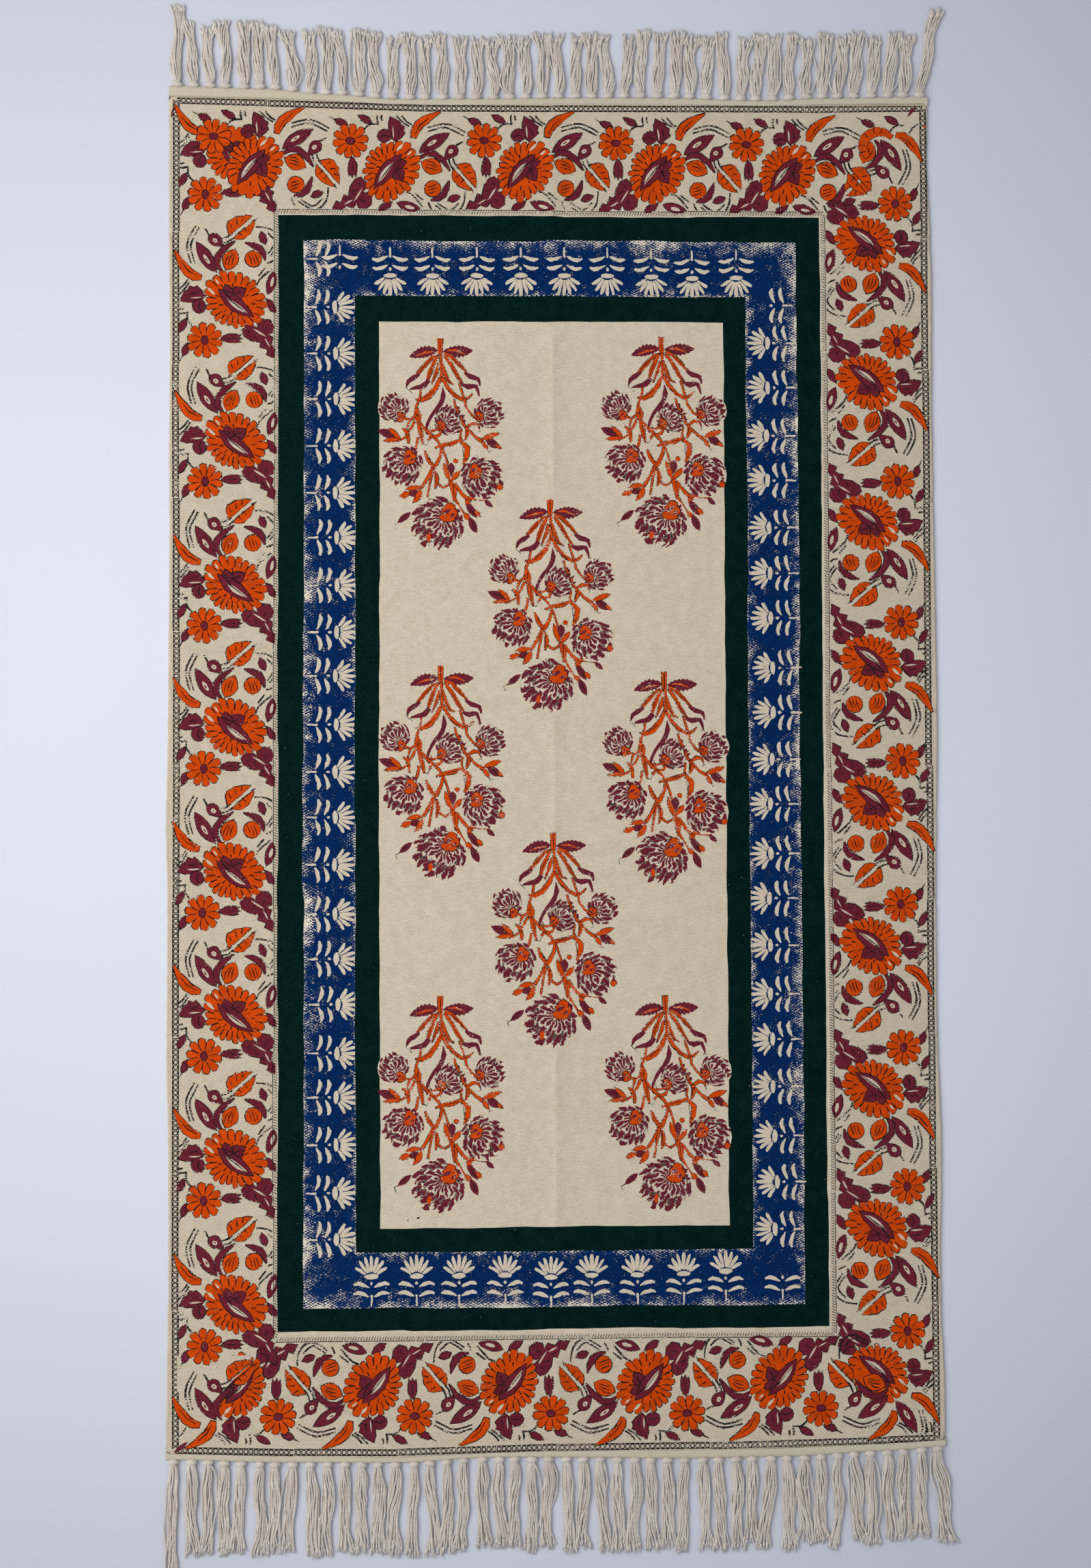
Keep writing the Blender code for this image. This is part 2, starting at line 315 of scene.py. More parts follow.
def half_open_buds(block):
    """Each bud has an orange body under an arched maroon sepal."""
    veins, sepal = (0.4, 0.7, 0.3), [(35.5, 13), (44, 19.5), (54, 19), (64, 11), (72, -1)]
    block.outlined("orange", leaf((38, 9), (63, -2), 10.0, 9.0, steps=7))
    for side in (-4.0, 0.0, 4.0):
        block.strokes(veins, [(44, 6.5 + side), (51, 5 + side), (57.5, 1.2 + side * 0.6)])
    block.outlined("maroon", ribbon(sepal, (0.8, 3.2, 3.6, 3.4, 0.6), 1))
    sepal = [(49.5, -36.5), (57.5, -35), (64, -30), (68, -22), (70.5, -13.5)]
    block.outlined("orange", oval((51.5, -22.8), 9.8, 9.9, 0.0, 12))
    for side in (-4.2, -0.5, 3.4):
        block.strokes(veins, [(45, -24.5 + side), (51, -23 + side), (56.5, -20.5 + side)])
    block.outlined("maroon", ribbon(sepal, (0.7, 2.9, 4.0, 3.0, 0.5), 1))


def border_horns(block):
    # The split orange heart leaf.
    block.outlined("orange", leaf((75.5, 0.5), (97.5, -25), 1.0, 8.6, full=0.42, steps=7, teeth=0.05))
    block.outlined("orange", leaf((79.5, 6), (102.5, -21.5), 12.6, 0.8, full=0.36, steps=7, teeth=0.05))
    block.strokes((1.0, 0.4), [(96.5, -21.5), (99.5, -27.5)], steps=2)
    block.strokes((0.8, 0.4), [(83.5, -5), (78.5, -10)], [(88.5, -11), (84, -16)], [(88, 2), (94, 5)],
                  [(92, -4), (99, -3)], [(96, -10), (102, -11)])
    # The orange horn leaf and the maroon bud on top of the flower.
    horn = [(29, 38), (31, 46), (36, 53.5), (43, 59), (50, 63.5), (61, 69)]
    block.outlined("orange", ribbon(horn, (3.0, 5.2, 5.6, 5.2, 3.4, 1.0), 1))
    block.strokes((0.4, 0.7, 0.4), [(31, 42), (37, 53), (47, 61)])
    block.strokes((0.6, 0.3), [(36, 46), (42, 53)])
    block.outlined("maroon", leaf((8, 33), (2, 63), 5.0, 13.5, full=0.42, steps=8, teeth=0.10))
    block.outlined("maroon", oval((-4.8, 40.5), 8.6, 7.8, 20.0, 11))
    block.strokes((0.5, 0.8, 0.5), [(-11, 38), (-5, 41), (1, 39)])
    block.add("cotton", leaf((6, 37), (5, 52), 0.9, 0.8, steps=4))
    block.strokes((0.7, 0.4), [(12, 41), (10, 50)])


def big_flower(block):
    """The flower with carved lines at its petals, and a maroon heart of three leaves."""
    block.outlined("orange", petals((0, 0), FLOWER_REACH, 22, 5.4, turn=4.0, uneven=1.3), 0.9)
    block.add("key", *spokes((0, 0), FLOWER_REACH, 22, 4.6, 13.0, 0.95, turn=4.0),
              *spokes((0, 0), FLOWER_REACH, 11, 14.0, 19.5, 0.9, turn=20.0))
    block.add("cotton", leaf((9, 22), (17.5, 31), 1.8, 1.8, steps=4),
              leaf((21, 17), (27.5, 22), 1.2, 1.2, steps=4))
    block.outlined("maroon", leaf((2, 8), (16, -14), 8.5, 7.0, full=0.5, steps=6, teeth=0.06), 1.1)
    block.outlined("maroon", leaf((2, 3), (21, 10), 6.0, 6.0, full=0.5, steps=5, teeth=0.06), 1.1)
    heart = leaf((-17, -23), (15, 18), 8.6, 8.0, bend=1.0, full=0.52, steps=9, teeth=0.05)
    block.outlined("maroon", heart, 1.1)
    block.add("cotton", leaf((-12.5, -16), (5, 8), 3.0, 2.6, bend=1.0, steps=5))
    block.strokes((0.3, 0.7, 0.4), [(-12, -14), (-3, -3), (4, 7)])
    block.strokes((0.6, 0.8, 0.4), [(2, 3), (9, 8), (14, 13)])
    block.strokes((0.4, 0.7, 0.3), [(6, 5), (11, -4), (13, -10)])


# The lotus block: x along the band, y towards the field, from the middle of the cup. Its shapes stay bare.

def lotus_block():
    block = Block()
    block.add("cotton", oval((0, 1.4), 8.0, 3.1, 0.0, 9))
    block.strokes((0.9, 1.9, 2.3, 1.2), [(0, 6.4), (0.3, 16), (0, 25.5)], ink="cotton", steps=2)
    for side in (-1, 1):
        for half_widths, *lines in (
                ((0.9, 1.9, 2.2, 1.0), [(2.0, 6.2), (5.0, 15.0), (7.4, 23.6)],
                 [(4.0, 5.4), (9.6, 12.8), (13.8, 19.2)], [(6.4, 4.0), (12.6, 8.4), (18.2, 11.4)]),
                ((0.6, 2.1, 2.3, 0.9), [(3.0, -21.5), (9, -18.6), (15.5, -17.0), (21, -18.4)],
                 [(3.0, -11.0), (9, -8.0), (15.5, -6.4), (20.5, -8.2)])):
            mirrored = [[(side * x, y) for x, y in line] for line in lines]
            block.strokes(half_widths, *mirrored, ink="cotton", steps=2)
    block.strokes((0.8, 1.0, 1.3), [(0, -32.5), (0.2, -27), (0, -20)], ink="cotton", steps=2)
    block.add("cotton", oval((0, -6.5), 1.6, 2.2, 0.0, 6))
    return block


# The flower spray, hanging: x to the right, y down from the top of its stem.

SPRAY_STEMS = (
    # points, half widths
    ([(0.5, 17), (1, 30), (1.5, 48)], (2.4, 1.7, 2.4)),
    ([(1, 45), (-5, 58), (-13, 68), (-22, 73), (-29, 72)], (2.4, 3.6, 4.4, 3.2, 0.8)),
    ([(2, 46), (9, 58), (17, 67), (26, 72), (33, 70), (38, 65)], (2.4, 2.8, 2.8, 2.4, 1.8, 0.8)),
    ([(-22, 56), (-24, 70), (-28, 80), (-28, 88)], (1.3, 1.5, 1.8, 2.0)),
    ([(-28, 82), (-26.5, 91), (-25, 101)], (2.0, 6.2, 2.2)),
    ([(-28, 90), (-35, 96), (-43, 94)], (1.8, 1.5, 1.8)),
    ([(-36, 96), (-39, 107)], (2.2, 0.7)),
    ([(-30, 97), (-34, 106), (-41, 113)], (1.8, 1.8, 1.3)),
    ([(-44, 106), (-38, 112), (-37, 124)], (1.2, 3.0, 1.6)),
    ([(-37, 114), (-45, 119), (-52, 121)], (1.2, 1.3, 2.6)),
    ([(-26, 98), (-23, 110), (-20, 125)], (2.2, 3.8, 1.2)),
    ([(-26, 116), (-28, 128), (-34, 138)], (1.6, 1.8, 1.4)),
    ([(-24, 99), (-17, 108), (-9, 115), (-2, 122), (1, 129)], (1.6, 2.0, 2.2, 1.8, 1.6)),
    ([(-8, 116), (-1, 114), (1, 108)], (1.8, 2.2, 0.8)),
    ([(-14, 120), (-10, 115)], (1.8, 1.6)),
    ([(-16, 107), (-9, 109), (0, 106)], (1.0, 1.3, 1.3)),
    ([(22, 52), (25, 61), (28, 71)], (1.3, 1.4, 1.6)),
    ([(29, 71), (30, 80), (37, 90), (46, 95)], (1.8, 1.6, 1.4, 1.0)),
    ([(16, 72), (18, 80), (22, 88)], (1.5, 1.5, 1.3)),
    ([(25, 92), (26, 99), (31, 105)], (1.5, 1.5, 2.2)),
    ([(30, 105), (38, 100), (44, 101), (46, 106)], (1.6, 2.8, 1.6, 0.6)),
    ([(31, 104), (32, 112), (29, 120)], (2.6, 3.2, 1.0)),
    ([(33, 107), (40, 115), (49, 121)], (1.4, 1.8, 3.0)),
    ([(25, 107), (23.5, 116), (25, 124)], (1.2, 1.3, 1.8)),
    ([(26, 119), (14, 124), (3, 126), (-6, 129)], (1.6, 3.4, 3.0, 1.0)),
    ([(25, 121), (32, 129), (31, 139), (27, 148)], (2.2, 4.2, 4.0, 1.2)),
    ([(30, 142), (34, 149), (39, 155)], (1.2, 1.3, 1.3)),
    ([(2, 128), (0, 139), (-5, 149), (-9, 155)], (2.0, 2.2, 3.2, 2.4)),
    ([(-18, 133), (-14, 143), (-8, 151)], (1.0, 3.2, 2.4)),
    ([(-9, 153), (-15, 165), (-22, 176)], (2.6, 2.2, 2.6)),
    ([(-9, 156), (-12, 170), (-15, 187)], (1.6, 1.4, 1.3)),
    ([(-6, 156), (-4, 166), (-6, 177)], (1.4, 3.4, 1.0)),
    ([(-3, 171), (4, 176), (12, 170)], (1.6, 1.5, 1.0)),
    ([(3, 130), (7, 142), (10, 152)], (1.3, 1.3, 1.6)),
    ([(11, 166), (16, 178), (16, 192)], (2.4, 5.0, 1.2)),
    ([(17, 171), (26, 184), (36, 192)], (1.8, 2.4, 3.0)),
    ([(33, 188), (44, 189), (55, 191)], (2.6, 2.0, 1.2)),
    ([(17, 188), (22, 198), (28, 207)], (1.8, 1.7, 1.2)),
    ([(31, 190), (34, 199), (41, 207)], (2.2, 4.4, 2.0)),
)
SPRAY_SEPALS = (
    # points, half widths, maroon tip's points, half widths
    ([(-2, 20), (-9, 22), (-19, 33), (-27, 42)], (1.2, 2.0, 2.9, 2.0),
     [(-24, 42), (-31, 46.5), (-37, 51), (-39, 57)], (1.6, 3.0, 2.4, 0.7)),
    ([(-3, 20), (-8, 30), (-12, 40), (-15, 50)], (1.6, 2.6, 3.0, 1.6),
     [(-13, 49), (-19, 56), (-27, 58), (-35, 60)], (2.4, 3.3, 2.4, 0.9)),
    ([(5, 17), (13, 21), (22, 30), (31, 40)], (1.8, 2.4, 2.6, 1.2),
     [(29, 40), (36, 45), (45, 48), (47, 56)], (1.4, 3.0, 2.4, 0.8)),
    ([(5, 20), (13, 31), (20, 44), (27, 54)], (1.8, 2.5, 2.5, 1.0),
     [(25, 54), (33, 57), (42, 56), (46, 68)], (1.2, 3.2, 2.4, 0.8)),
    ([(-2, 29), (-4, 39), (-10, 54)], (1.2, 2.5, 0.8), None, None),
    ([(2, 28), (6, 42), (10, 51), (16, 54)], (1.4, 2.5, 2.2, 0.6), None, None),
)
SPRAY_LEAVES = (
    # ink, base, tip, left, right, fullest at
    ("maroon", (-2, 14), (-36, 22), 8.5, 4.6, 0.45),
    ("maroon", (3, 15), (39, 14), 7.6, 6.2, 0.5),
    ("maroon", (-49, 117), (-73, 108), 5.0, 5.5, 0.5),
    ("orange", (-46, 119), (-60, 105.5), 2.6, 3.2, 0.5),
    ("orange", (-47, 119), (-67, 121), 2.6, 2.4, 0.5),
    ("maroon", (53, 117), (70, 129), 5.5, 4.5, 0.5),
    ("orange", (48, 119), (71, 111), 3.2, 3.6, 0.5),
    ("orange", (49, 120), (56, 131), 3.0, 2.2, 0.5),
    ("orange", (64, 124), (72, 130), 2.0, 2.0, 0.5),
    ("maroon", (-24, 181), (-38, 184), 4.5, 4.5, 0.5),
    ("orange", (-21, 176), (-41, 178.5), 4.2, 1.8, 0.5),
    ("orange", (-22, 177), (-32, 194), 2.0, 5.0, 0.5),
    ("orange", (-35, 182), (-48, 187), 3.6, 3.6, 0.5),
    ("orange", (12, 169), (4, 146), 2.6, 3.6, 0.5),
    ("orange", (12, 169), (25, 155), 2.6, 3.6, 0.5),
    ("maroon", (13, 163), (13, 146), 4.6, 4.4, 0.6),
    ("maroon", (31, 194), (43, 212), 4.2, 4.6, 0.5),
    ("orange", (40, 203), (47, 210), 2.6, 3.0, 0.5),
    ("maroon", (52, 190), (62, 199), 3.4, 2.6, 0.5),
    ("orange", (27, 206), (36, 214), 3.2, 3.2, 0.5),
    ("maroon", (34, 210), (43, 230), 4.8, 4.4, 0.5),
    ("orange", (-22, 203), (-33, 207), 3.0, 3.0, 0.5),
    ("maroon", (-34, 205), (-50, 218), 4.0, 3.8, 0.5),
)
# Only the two big leaves at the top have teeth.
LONG_LEAF = 30.0
SPRAY_HEADS = (
    # middle, radius, calyx, calyx radius, petals
    ((-54, 82), 18.5, (-46, 93), 5.2, 12),
    ((11, 96), 19.0, (1, 103), 5.4, 12),
    ((57, 88), 19.0, (46, 92), 5.0, 12),
    ((-44, 150), 24.5, (-36, 141), 7.6, 14),
    ((49, 164), 26.0, (41, 157), 7.6, 14),
    ((-3, 218), 31.5, (10, 206), 10.0, 17),
)
SPRAY_VEINS = (
    [(-54, 114), (-68, 110)], [(57, 119), (66, 126)], [(35, 200), (40, 208)], [(37, 215), (41, 226)],
    [(-40, 209), (-47, 215)], [(26, 127), (28, 143)], [(-5, 159), (-5, 172)], [(15, 171), (16, 186)],
    [(-8, 62), (-19, 71)], [(8, 60), (21, 70)], [(20, 122), (4, 126)], [(-26, 86), (-26, 97)],
    [(-23, 105), (-21, 121)], [(31, 107), (30, 117)], [(-15, 139), (-9, 149)], [(-30, 181), (-29, 190)],
)
SPRAY_CURLS = (
    [(-33, 58), (-36, 61), (-33, 65)], [(-49, 217), (-54, 220), (-52, 225)],
    [(-38, 54), (-40, 58), (-36, 62)], [(46, 66), (48, 69), (43, 68)], [(45, 105), (47, 109), (44, 110)],
    [(-21, 124), (-16, 126), (-14, 121)], [(55, 130), (57, 134), (60, 132)],
)


def carnation(block, middle, radius, calyx, size, count):
    """A round head. The material draws its petals, which fan out from a root on the calyx's side."""
    toward = unit(middle[0] - calyx[0], middle[1] - calyx[1])
    root = (middle[0] - toward[0] * radius * 0.3, middle[1] - toward[1] * radius * 0.3)
    block.add("maroon", oval(middle, radius * 1.02, radius * 1.02, 0.0, 18), take=0.02,
              repeat=(root, middle, 1.0 / radius, count))
    x, y = calyx
    block.outlined("orange", petals(calyx, size * 1.08, 5, size * 0.24, size * 7.0, size * 0.2), 0.8)
    leaf_tip = (x + size * 0.3, y - size * 0.45)
    block.add("maroon", leaf((x - size * 0.7, y + size * 0.1), leaf_tip, size * 0.22, size * 0.3, steps=4),
              leaf((x + size * 0.1, y + size * 0.5), (x + size * 0.75, y), size * 0.2, size * 0.16, steps=3),
              take=-0.12)


def spray_block():
    block = Block()
    for head in SPRAY_HEADS[:3]:
        carnation(block, *head)
    drooping = [(3, 57), (4, 67), (1, 77), (-7, 87), (-13, 97), (-16, 106), (-15, 114)]
    block.add("maroon", ribbon(drooping, (0.5, 1.6, 3.4, 2.4, 3.2, 1.8, 2.6, 1.6, 2.2, 1.2, 1.6, 0.5), 2))
    block.strokes((0.8, 0.6, 0.4), [(-15, 113), (-11, 107), (-13, 103)])
    for points, half_widths in SPRAY_STEMS:
        thinner = [half * 0.72 + 0.1 for half in half_widths]
        block.outlined("orange", ribbon(points, thinner, 1 if len(points) > 3 else 2), 0.8)
    for ink, base, tip, left, right, full in SPRAY_LEAVES:
        if math.dist(base, tip) > LONG_LEAF:
            shape = leaf(base, tip, left, right, full=full, steps=15, teeth=0.13)
        else:
            shape = leaf(base, tip, left, right, full=full, steps=5)
        if ink == "orange":
            block.outlined(ink, shape, 0.8)
        else:
            block.add(ink, shape)
    block.strokes((0.6, 1.3, 0.4), [(-8, 15.5), (-17, 16.5), (-28, 20.5)], [(9, 14), (18, 13.5), (29, 18)],
                  ink="orange", take=-0.1)
    block.strokes((0.55, 0.4), *SPRAY_VEINS)
    for points, half_widths, tip_points, tip_widths in SPRAY_SEPALS:
        block.outlined("orange", ribbon(points, [half * 0.85 for half in half_widths], 1), 0.8)
        block.strokes((0.4, 0.6, 0.3), points[1:])
        if tip_points:
            block.add("maroon", ribbon(tip_points, [half * 1.05 for half in tip_widths], 2))
    block.outlined("orange", ribbon([(0, 0), (0, 9), (0, 19)], (3.4, 3.0, 2.6), 1), 0.8)
    block.strokes((0.4, 0.6, 0.3), [(0, 0.5), (0.2, 9), (0.3, 20)])
    for head in SPRAY_HEADS[3:]:
        carnation(block, *head)
    block.outlined("orange", oval((70, 175), 3.8, 3.6, 0.0, 8), 0.6)
    block.outlined("orange", oval((18, 144.5), 3.0, 2.8, 0.0, 8), 0.6)
    block.add("orange", leaf((-13, 229), (-14, 240), 2.8, 2.6, steps=4))
    block.strokes((0.6, 0.6, 0.4), *SPRAY_CURLS)
    return block


# Where the blocks are printed.

BORDER_PRINTS = (
    # turn of the block, middles of its big flower in the order of printing
    (-90, ((371, 779), (373, 622), (373, 457), (373, 291), (375, 124), (375, -39), (371, -207), (372, -374),
           (375, -535), (373, -702))),
    (183, ((418, -709),)),
    (180, ((260, -710), (105, -714), (-53, -712), (-210, -714), (-366, -712))),
    (90, ((-373, -784), (-372, -621), (-373, -454), (-373, -288), (-375, -123), (-374, 44), (-374, 211),
          (-373, 380), (-374, 546), (-374, 719))),
    (0, ((-353, 709), (-192, 705), (-35, 706), (121, 704), (276, 703))),
)
LOTUS_PRINTS = (
    # turn of the block, middles of its cup
    (180, ((-191, 580), (-141, 580), (-89, 580), (-37, 581), (14, 581), (65, 581), (117, 580), (165, 578),
           (217, 579))),
    (0, ((-214, -589), (-162, -589), (-113, -589), (-60, -589), (-7, -592), (40, -590), (93, -590),
         (147, -589), (196, -587))),
    (-90, ((-257, 541), (-256, 486), (-256, 432), (-256, 377), (-257, 322), (-255, 269), (-255, 213),
           (-255, 158), (-257, 107), (-256, 50), (-257, -5), (-257, -58), (-258, -113), (-257, -170),
           (-256, -222), (-254, -275), (-255, -331), (-256, -382), (-256, -436), (-257, -492), (-256, -545))),
    (90, ((255, 500), (255, 447), (253, 390), (254, 337), (255, 281), (256, 227), (256, 174), (258, 116),
          (258, 63), (256, 8), (254, -44), (254, -102), (252, -154), (252, -209), (252, -266), (254, -318),
          (254, -373), (256, -430), (258, -483), (255, -538))),
)
SPRAY_PRINTS = ((-132, 504), (128, 507), (-4, 314), (-133, 118), (129, 111), (-2, -77), (-134, -266),
                (127, -267))
# The bands' edges: left, right, bottom, top.
GREEN_FRAME = (-322.0, 316.0, -650.0, 650.0)
BLUE_FRAME = (-292.5, 288.0, -624.0, 620.0)
INNER_GREEN_FRAME = (-232.0, 228.0, -560.0, 555.0)
FIELD = (-204.0, 201.0, -533.0, 524.0)
# Kinds of small repeat that the material draws. A carnation's kind is its number of petals.
RINGS, TICKS = 1, 2
# The corners that each chain runs through, from the bottom left one.
RING_CHAIN = ((-438.5, -782.0), (-303.0, -786.5), (-183.0, -789.0), (0.0, -785.5), (177.0, -785.0),
              (382.0, -781.5), (439.0, -780.5), (441.5, 782.0), (300.0, 779.5), (-150.0, 778.5),
              (-335.0, 783.5), (-441.5, 786.0))
TICK_CHAIN = ((-324.5, -658.5), (321.5, -658.5), (321.5, 654.0), (-324.5, 654.0))
# The border's outer edge from the middle across and along, and how deep the side and end rows are.
BORDER_EDGE = (440.5, 781.0)
BORDER_DEPTH = (120.0, 132.0)
# Where paper masks kept each row's shapes off: lowest and highest x, lowest and highest y. The side rows
# stop at the top right corner and at the flower of the bottom left one. The end rows stop at the left
# row's lobed leaves, and at what the side rows print in the bottom corners.
FAR = 1000.0
SIDE_MASKS = ((395, FAR, 762, FAR), (-FAR, -310, -FAR, -764), (-384, -366, -FAR, -715))
END_MASKS = ((-FAR, -308, 0, 682), (345, FAR, -700, 0), (385, FAR, -762, 0), (-FAR, -395, -756, 0),
             (-FAR, -430, -FAR, 0))
# How much more ink the side rows and the end rows took.
SIDE_TAKE = 0.01
END_TAKE = 0.04
# The printer's hand: the seed of its slips, how far each impression may turn, in degrees, and how far each
# ink may stray from the others.
PRINT_SEED = 1590
TURN_SLIP = 0.5
INK_SLIP = 0.3
# A frame's block is this many steps long. The blocks of a chain leave a small gap.
FRAME_BLOCK = 12
CHAIN_GAP = 0.8
# How far the side rows and the end rows run over the corner's diagonal, as a share of their depth.
SIDE_OVERRUN = 0.20
END_OVERRUN = 0.12


class Print(Block):
    """The shapes on the cloth, in the order of printing."""

    def __init__(self, seed):
        super().__init__()
        self.draw = random.Random(seed)

    def put(self, ink, points, take=0.0, repeat=None):
        if signed_area(points) < 0:
            points = points[::-1]
        self.add(ink, points, take=take, repeat=repeat)

    def stamp(self, block, centre, turn, flip=1.0, take=0.0, keep=None, rough=0.18, loose=0.3):
        """Prints a block. Each ink is its own block in the hand, so it lands a little off the others.

        loose is how far a block strays, rough how far a carved edge does. keep says which places print.
        """
        draw = self.draw
        turn = math.radians(turn + draw.uniform(-TURN_SLIP, TURN_SLIP))
        c, s = math.cos(turn), math.sin(turn)
        key_x, key_y = draw.uniform(-loose, loose), draw.uniform(-loose, loose)
        off = {ink: (key_x + draw.uniform(-INK_SLIP, INK_SLIP), key_y + draw.uniform(-INK_SLIP, INK_SLIP))
               for ink in INKS}
        off["cotton"] = off["key"] = (key_x, key_y)

        def laid(ink, x, y, shake=0.0):
            y = y * flip
            return (centre[0] + off[ink][0] + x * c - y * s + draw.uniform(-shake, shake),
                    centre[1] + off[ink][1] + x * s + y * c + draw.uniform(-shake, shake))

        for ink, points, own_take, repeat in block.shapes:
            placed = [laid(ink, x, y, rough) for x, y in points]
            middle = (sum(p[0] for p in placed) / len(placed), sum(p[1] for p in placed) / len(placed))
            if keep is None or keep(*middle):
                if repeat:
                    origin, end, scale, kind = repeat
                    repeat = (laid(ink, *origin), laid(ink, *end), scale, kind)
                self.put(ink, placed, take + own_take, repeat)

    def frame(self, ink, edges, wander, step=13.0):
        """A band's outer edge, printed in short impressions that don't quite line up."""
        left, right, bottom, top = edges
        draw = self.draw
        points = []
        corners = ((left, bottom), (right, bottom), (right, top), (left, top))
        for x0, y0, tx, ty, length, count in sides_round(corners, step):
            shift, phase = 0.0, draw.uniform(0, 6)
            for k in range(count):
                if k % FRAME_BLOCK == 0:
                    shift = draw.uniform(-wander, wander)
                side = shift + 0.35 * wander * math.sin(k * 0.9 + phase) + draw.uniform(-0.3, 0.3)
                fade = min(1.0, k / 3.0, (count - k) / 3.0)
                points.append((x0 + tx * length * k / count - ty * side * fade,
                               y0 + ty * length * k / count + tx * side * fade))
        self.put(ink, points)

    def chain(self, kind, corners, half_width, take, run=155.0):
        """A narrow chain along the border, block after block. The material draws its rings or ticks."""
        draw = self.draw
        for x0, y0, tx, ty, length, count in sides_round(corners, run):
            for k in range(count):
                shift, lean = draw.uniform(-0.9, 0.9), draw.uniform(-0.5, 0.5)
                near, far = length * k / count, length * (k + 1) / count - CHAIN_GAP
                strip = []
                for s, side in ((near, shift - half_width), (far, shift + lean - half_width),
                                (far, shift + lean + half_width), (near, shift + half_width)):
                    strip.append((x0 + tx * s - ty * side, y0 + ty * s + tx * side))
                start, end = [((strip[a][0] + strip[b][0]) / 2, (strip[a][1] + strip[b][1]) / 2)
                              for a, b in ((0, 3), (1, 2))]
                self.put("key", strip, take + draw.uniform(-0.09, 0.12), (start, end, 1.0, kind))


def in_border(along_side, x, y):
    """Whether a shape of this row is printed here. At the corners the rows run over each other a little."""
    across = (BORDER_EDGE[0] - abs(x)) / BORDER_DEPTH[0]
    down = (BORDER_EDGE[1] - abs(y)) / BORDER_DEPTH[1]
    if across < 0.0 or down < 0.0 or min(across, down) > 1.0:
        return False
    if any(x0 < x < x1 and y0 < y < y1 for x0, x1, y0, y1 in (SIDE_MASKS if along_side else END_MASKS)):
        return False
    return down > across - SIDE_OVERRUN if along_side else across > down - END_OVERRUN


def printed_shapes():
    cloth = Print(PRINT_SEED)
    cloth.chain(RINGS, RING_CHAIN, 4.4, 0.08)
    print_border(cloth)
    cloth.chain(TICKS, TICK_CHAIN, 3.5, 0.04)
    cloth.frame("green", GREEN_FRAME, 0.8)
    cloth.frame("blue", BLUE_FRAME, 1.3)
    lotus = lotus_block()
    for turn, centres in LOTUS_PRINTS:
        for centre in centres:
            cloth.stamp(lotus, centre, turn, rough=0.5)
    # Leaves of motifs that the corner cuts.
    cloth.stamp(lotus, (-250, 582), 180, keep=lambda x, y: y > 586)
    cloth.stamp(lotus, (-256, 598), -90, keep=lambda x, y: x < -262)
    cloth.stamp(lotus, (262, -587), 0, keep=lambda x, y: y < -590)
    cloth.stamp(lotus, (252, 545), 90, keep=lambda x, y: x > 255)
    cloth.frame("green", INNER_GREEN_FRAME, 0.9)
    cloth.frame("cotton", FIELD, 0.9)
    spray = spray_block()
    for centre in SPRAY_PRINTS:
        cloth.stamp(spray, centre, 0, flip=-1.0, take=-0.07, rough=0.25)
    # A few slips of the hand: a smear and three dots.
    cloth.put("maroon", leaf((-447, 764), (-445, 777), 1.4, 1.2, steps=4), -0.1)
    cloth.put("orange", oval((443, 760), 1.6, 2.2, 0.0, 7))
    cloth.put("key", oval((-160, -521), 2.2, 1.2, 20.0, 6))
    cloth.put("key", oval((-172, -524), 1.2, 0.8, 0.0, 5))
    return cloth.shapes


def print_border(cloth):
    border = border_block()
    for turn, centres in BORDER_PRINTS:
        along_side = turn in (-90, 90)
        if turn == 90:
            # A paper mask kept the bottom row's last flower off the place of the left row's leaves.
            cloth.put("cotton", [(-437, -676), (-352, -676), (-354, -686), (-373, -704), (-392, -725),
                                 (-408, -738), (-437, -716)])
        for centre in centres:
            cloth.stamp(border, centre, turn, take=SIDE_TAKE if along_side else END_TAKE, rough=0.32,
                        keep=lambda x, y: in_border(along_side, x, y))
    # The top row's last print and the right row's first one share the corner, mostly masked.
    cloth.stamp(border, (431, 707), 0, rough=0.32, keep=lambda x, y: y > 755 and x < 414)
    curl = ribbon([(404, 747), (394, 753), (383, 753), (373, 746), (369, 734), (375, 723)],
                  (2.6, 4.6, 5.6, 5.8, 5.0, 3.0), 2)
    cloth.put("key", inset(curl, -0.8))
    cloth.put("orange", curl)
    for start, end in (((392, 758), (391, 752)), ((382, 758), (383, 751)), ((371, 751), (376, 746)),
                       ((365, 738), (372, 737)), ((367, 728), (373, 730))):
        cloth.put("key", ribbon([start, end], (0.8, 0.5), 1))
    cloth.put("maroon", leaf((422, 771), (434, 786), 1.6, 2.0, steps=4))
    cloth.put("maroon", leaf((-441, -786), (-424, -773), 2.4, 2.8, steps=4))


# The cloth.

# Heights of the rounded selvedge, at these distances from the edge.
SELVEDGE_WIDTH = 5.0
SELVEDGE_PROFILE = ((0.0, 0.7, 1.8, 3.2, SELVEDGE_WIDTH), (1.5, 2.9, 3.5, 3.0, 3.25))
# The rounding stops this far from the ends of the body.
SELVEDGE_END = 16.0
EDGE_STEP = 7.0
# The small loops of the weft at the selvedges.
WEFT_LOOP = 0.35
WEFT_SEED = 77
# A narrow ridge stays where the cloth was folded lengthwise.
RIDGE_HEIGHT = 0.55
RIDGE_HALF_WIDTH = 2.4
# How far the rim may lie from the ends of the body.
RIM_REACH = 30.0
